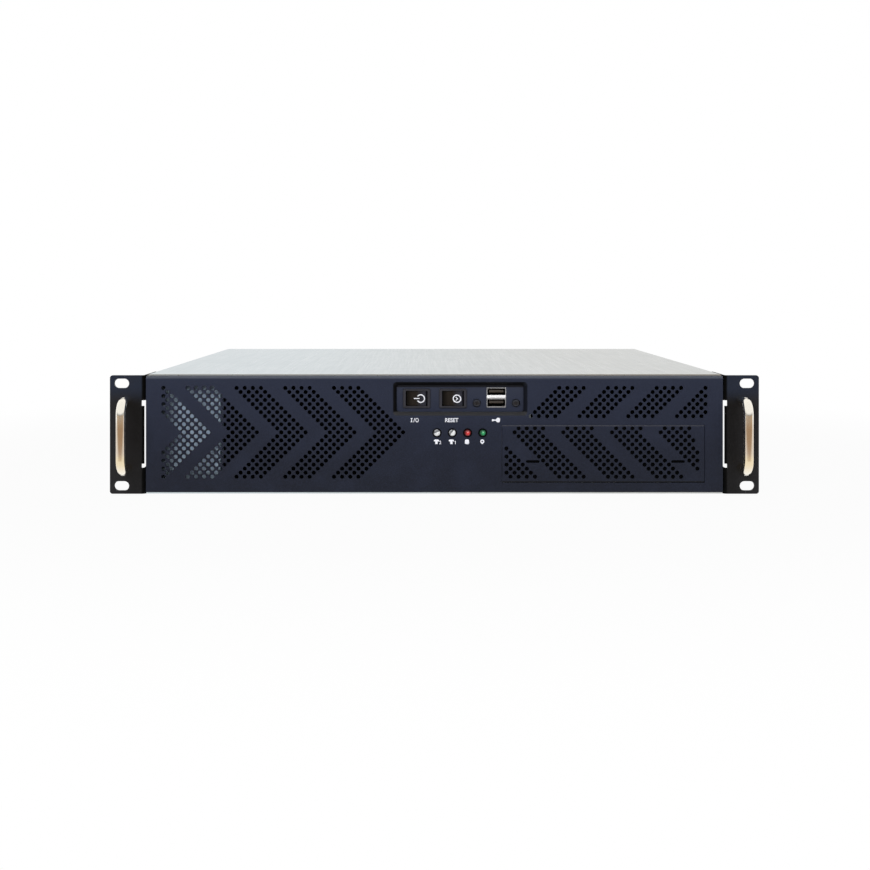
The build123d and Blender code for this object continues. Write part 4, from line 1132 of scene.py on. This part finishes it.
def symbolRing(which, start=0.0, end=360.0):
    radius = symbol[which + "Radius"]
    return band("ring", *symbol[which + "Ring"], symbolY, radius - symbol["line"], radius + symbol["line"],
                start, end)


symbolY = frontY + 1
barLong, barHigh = symbol["barHalf"]
arrow = [(-0.85, -1.2), (-0.3, -1.55), (1.2, 0.0), (-0.3, 1.55), (-0.85, 1.2), (0.2, 0.0)]
rockerSymbol("powerSymbol", [
    symbolRing("power", -symbol["powerOpen"], symbol["powerOpen"]),
    filledPatch("bar", bar(-barLong, barLong, barHigh), *symbol["powerBar"], symbolY)], "power_rocker")
rockerSymbol("resetSymbol", [
    symbolRing("reset"),
    filledPatch("arrow", arrow, *symbol["resetArrow"], symbolY)], "reset_rocker")
print("rocker symbols placed")

# Twin socket: a steel shell round a black insert with two mouths, and a folded lip between them, coloured
# near white as a painted highlight
socket = {"mouths": ((64.5, 69.9), (73.0, 78.05)), "wall": 0.4, "corner": 0.3, "sheet": 0.35,
          "frontThick": 0.8, "lip": (71.0, 73.0), "lipIn": 0.1, "lipOut": 0.25, "lipEdge": 0.08,
          "mouthDeep": 12.0, "clear": 0.02}


def makeSocket():
    low, high = boxOf("usb_shell")

    def edge(y, inset, corner=0.0, steps=4):
        return outline("edge", low.x + inset, high.x - inset, low.z + inset, high.z - inset, y, corner, steps)

    def mouthEdges(y, inset=0.0):
        side = socket["wall"] + inset
        return [outline("mouthEdge", low.x + side, high.x - side, z0 + inset, z1 - inset, y,
                        socket["corner"], 2)
                for z0, z1 in socket["mouths"]]

    shellY = low.y + socket["lipOut"]
    wallY = shellY + socket["frontThick"]
    front = sheetWithOpenings("shellFront", [edge(shellY, 0.0, socket["corner"])] + mouthEdges(shellY))
    modify(front, "SOLIDIFY", thickness=socket["frontThick"], offset=-1)
    walls = sheetWithOpenings("shellWalls", [edge(wallY, 0.0, socket["corner"]),
                                             edge(wallY, socket["sheet"], socket["corner"] - 0.1)])
    modify(walls, "SOLIDIFY", thickness=high.y - wallY, offset=-1)
    shell = joined("usbShell", [front, walls])
    finishPiece(shell, "case", "socket_steel", "usb_shell", 35)
    insertY, backY = wallY + socket["clear"], low.y + socket["mouthDeep"]
    gap = socket["sheet"] + socket["clear"]
    insert = sheetWithOpenings("usbInsert", [edge(insertY, gap)] + mouthEdges(insertY, 0.1))
    modify(insert, "SOLIDIFY", thickness=backY - insertY, offset=-1)
    rear = block("insertRear", (low.x + gap, backY + touch, low.z + gap),
                 (high.x - gap, high.y, high.z - gap))
    finishPiece(joined("usbInsert", [insert, rear]), "case", "socket_black")
    # the folded lip: near-white, a painted highlight of its steel
    lipLow, lipHigh = socket["lip"]
    lip = block("usbLip", (low.x + socket["lipIn"], low.y, lipLow),
                (high.x - socket["lipIn"], shellY - touch, lipHigh))
    modify(lip, "BEVEL", width=socket["lipEdge"], segments=2, limit_method="ANGLE")
    finishPiece(lip, "case", "bright_lip", smooth=40)


makeSocket()

# Dust screens: a fine net in a thin frame before the fans, behind the bay cover and before the disk cage
screen = {"rim": 2.4, "rimDeep": 1.9, "net": 0.5, "lap": 0.3, "corner": 1.2, "innerCorner": 0.8}


def makeScreen(name, body, x0, x1, z0, z1, y):
    rim, lap = screen["rim"], screen["rim"] - screen["lap"]
    hoop = sheetWithOpenings(name, [
        outline("screenOut", x0, x1, z0, z1, y, screen["corner"]),
        outline("screenIn", x0 + rim, x1 - rim, z0 + rim, z1 - rim, y, screen["innerCorner"])])
    modify(hoop, "SOLIDIFY", thickness=screen["rimDeep"], offset=-1)
    netY = y + (screen["rimDeep"] - screen["net"]) / 2
    net = block("net", (x0 + lap, netY, z0 + lap), (x1 - lap, netY + screen["net"], z1 - lap))
    finishPiece(joined(name, [hoop, net]), body, "screen_net")


makeScreen("fanScreen", "case", -160.9, -1.2, 3.6, 83.2, -155.5)
makeScreen("diskScreen", "case", 73.2, 209.0, 52.2, 82.4, -166.6)
makeScreen("coverScreen", "bay_cover", 51.5, 199.7, 9.7, 49.6, -180.2)

# Gold contacts of the sockets: four strips under each tongue
contact = {"pitch": 2.4, "wide": 1.1, "long": 7.5, "thick": 0.12, "edge": 0.05, "count": 4, "inset": 0.6,
           "upperTongue": 1.7}


def makeContacts():
    low, high = boxOf("usb_tongues")
    half = contact["wide"] / 2
    strip = block("strip", (-half, 0, -contact["thick"]), (half, contact["long"], 0))
    modify(strip, "BEVEL", width=contact["edge"], segments=1, limit_method="ANGLE")
    first = (low.x + high.x) / 2 - contact["pitch"] * (contact["count"] - 1) / 2
    places = [(first + contact["pitch"] * i, low.y + contact["inset"], under)
              for under in (low.z, high.z - contact["upperTongue"]) for i in range(contact["count"])]
    finishPiece(copiesAt("usbContacts", strip, places), "case", "contact_gold")


makeContacts()
print("sockets and screens placed")

# Finishes of the frame's own pieces
nodeFinish = {
    "zinc_sheet": ["chassis_tray", "lid", "rear_panel", "bay_cage", "disk_cage", "usb_bracket",
                   "slot_cover_1", "slot_cover_2", "slot_cover_3", "slot_cover_4"],
    "zinc_wing": ["fan_bracket"],
    "powder_coat_plate": ["control_plate"],
    "switch_plastic": ["power_switch_body", "reset_switch_body"],
    "power_rocker": ["power_rocker"],
    "reset_rocker": ["reset_rocker"],
    "tongue_plastic": ["usb_tongues"],
    "circuit_board": ["usb_board", "lamp_board"],
    "nylon": ["lamp_board_posts"],
    "fan_plastic": ["left_fan_frame", "right_fan_frame", "left_fan_rotor", "right_fan_rotor"],
    "brass_posts": ["board_standoffs"],
}
for finish, nodes in nodeFinish.items():
    for node in nodes:
        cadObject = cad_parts[node]
        if not cadObject.material_slots:
            cadObject.data.materials.append(finishes[finish])
        for materialSlot in cadObject.material_slots:
            materialSlot.material = finishes[finish]
print("frame pieces finished:", sum(len(nodes) for nodes in nodeFinish.values()))

# Floor: pale, lit so that the camera sees it white, with a soft shadow close to the case. The bright metal
# mirrors it tan in front of the case.
ground = {"size": 6.0, "drop": 0.0002, "shadowShare": 0.045, "near": 0.34, "far": 0.75, "bounce": 0.5,
          "frontShine": (0.48, 0.35, 0.235), "shineEdge": (-0.42, -0.26)}
only()
bpy.ops.mesh.primitive_plane_add(size=ground["size"], location=(0, 0, -ground["drop"]))
floor = bpy.context.object
floor.name = "floor"
paper = Finish("floor_paper")
distance = paper.node("ShaderNodeVectorMath", {"operation": "LENGTH"},
                      {0: paper.node("ShaderNodeTexCoord", out="Object")}, "Value")
share = paper.fade(distance, ground["near"], ground["far"], 1.0 - ground["shadowShare"], 1.0)


def rayKinds(finish):
    # which rays look at a surface: the camera's, or those mirrored or let through by another surface
    rays = finish.tree.nodes.new("ShaderNodeLightPath")
    shiny = Wire(finish, rays.outputs["Is Glossy Ray"]) + Wire(finish, rays.outputs["Is Transmission Ray"])
    return Wire(finish, rays.outputs["Is Camera Ray"]), shiny


byCamera, mirrored = rayKinds(paper)
inMirror = paper.blend(paper.fade(paper.along(1), *ground["shineEdge"]), ground["frontShine"], grey(1.0))
diffuse = paper.node("ShaderNodeBsdfDiffuse", None, {"Color": (*grey(ground["bounce"]), 1)})
seen = paper.blend(byCamera, inMirror, grey(1.0))
glow = paper.node("ShaderNodeEmission", None, {"Color": seen, "Strength": 1.0})
mixed = paper.node("ShaderNodeMixShader", None, {0: byCamera * share + mirrored, 1: diffuse, 2: glow})
paper.node("ShaderNodeOutputMaterial", None, {"Surface": mixed})
floor.data.materials.append(paper.material)

# World: white where the camera looks, and a studio that is bright behind and above the case and dim in front
studio = {"fill": 0.14, "front": 0.07, "back": 1.0, "backEdge": (-0.25, 0.15), "top": 0.95,
          "topEdge": (-0.10, 0.22)}
world = bpy.data.worlds.new("studio")
bpy.context.scene.world = world
world.use_nodes = True
sky = Finish("studio", world.node_tree)
behind = sky.fade(sky.along(1, "Generated"), *studio["backEdge"], studio["front"], studio["back"])
above = sky.fade(sky.along(2, "Generated"), *studio["topEdge"], 0.0, studio["top"])
shine = sky.node("ShaderNodeMath", {"operation": "MAXIMUM"}, {0: behind, 1: above})
isCamera, isShiny = rayKinds(sky)
level = isCamera + (1 - isCamera) * (isShiny * shine + (1 - isShiny) * studio["fill"])
background = sky.node("ShaderNodeBackground", None, {"Color": (1, 1, 1, 1), "Strength": level})
sky.node("ShaderNodeOutputWorld", None, {"Surface": background})

# Soft lamps
softLamps = (
    {"name": "keyLamp", "spot": (-0.75, -1.45, 0.85), "aim": (0.0, 0.0, 0.05), "size": 0.6, "power": 12.0},
    {"name": "fillLamp", "spot": (0.95, -1.35, 0.6), "aim": (0.0, 0.0, 0.05), "size": 0.6, "power": 6.0},
    {"name": "frontLamp", "spot": (-0.12, -1.25, 0.34), "aim": (0.0, 0.0, 0.04), "size": 0.3, "power": 4.5},
    {"name": "topLamp", "spot": (0.0, 0.3, 1.4), "aim": (0.0, 0.0, 0.0), "size": 1.2, "power": 6.0},
)
for settings in softLamps:
    lampData = bpy.data.lights.new(settings["name"], "AREA")
    lampData.size = settings["size"]
    lampData.energy = settings["power"]
    lampObject = bpy.data.objects.new(settings["name"], lampData)
    lampObject.location = settings["spot"]
    aim = Vector(settings["aim"]) - Vector(settings["spot"])
    lampObject.rotation_euler = aim.to_track_quat("-Z", "Y").to_euler()
    lampObject.visible_glossy = False
    bpy.context.scene.collection.objects.link(lampObject)
print("stage lit")

only()
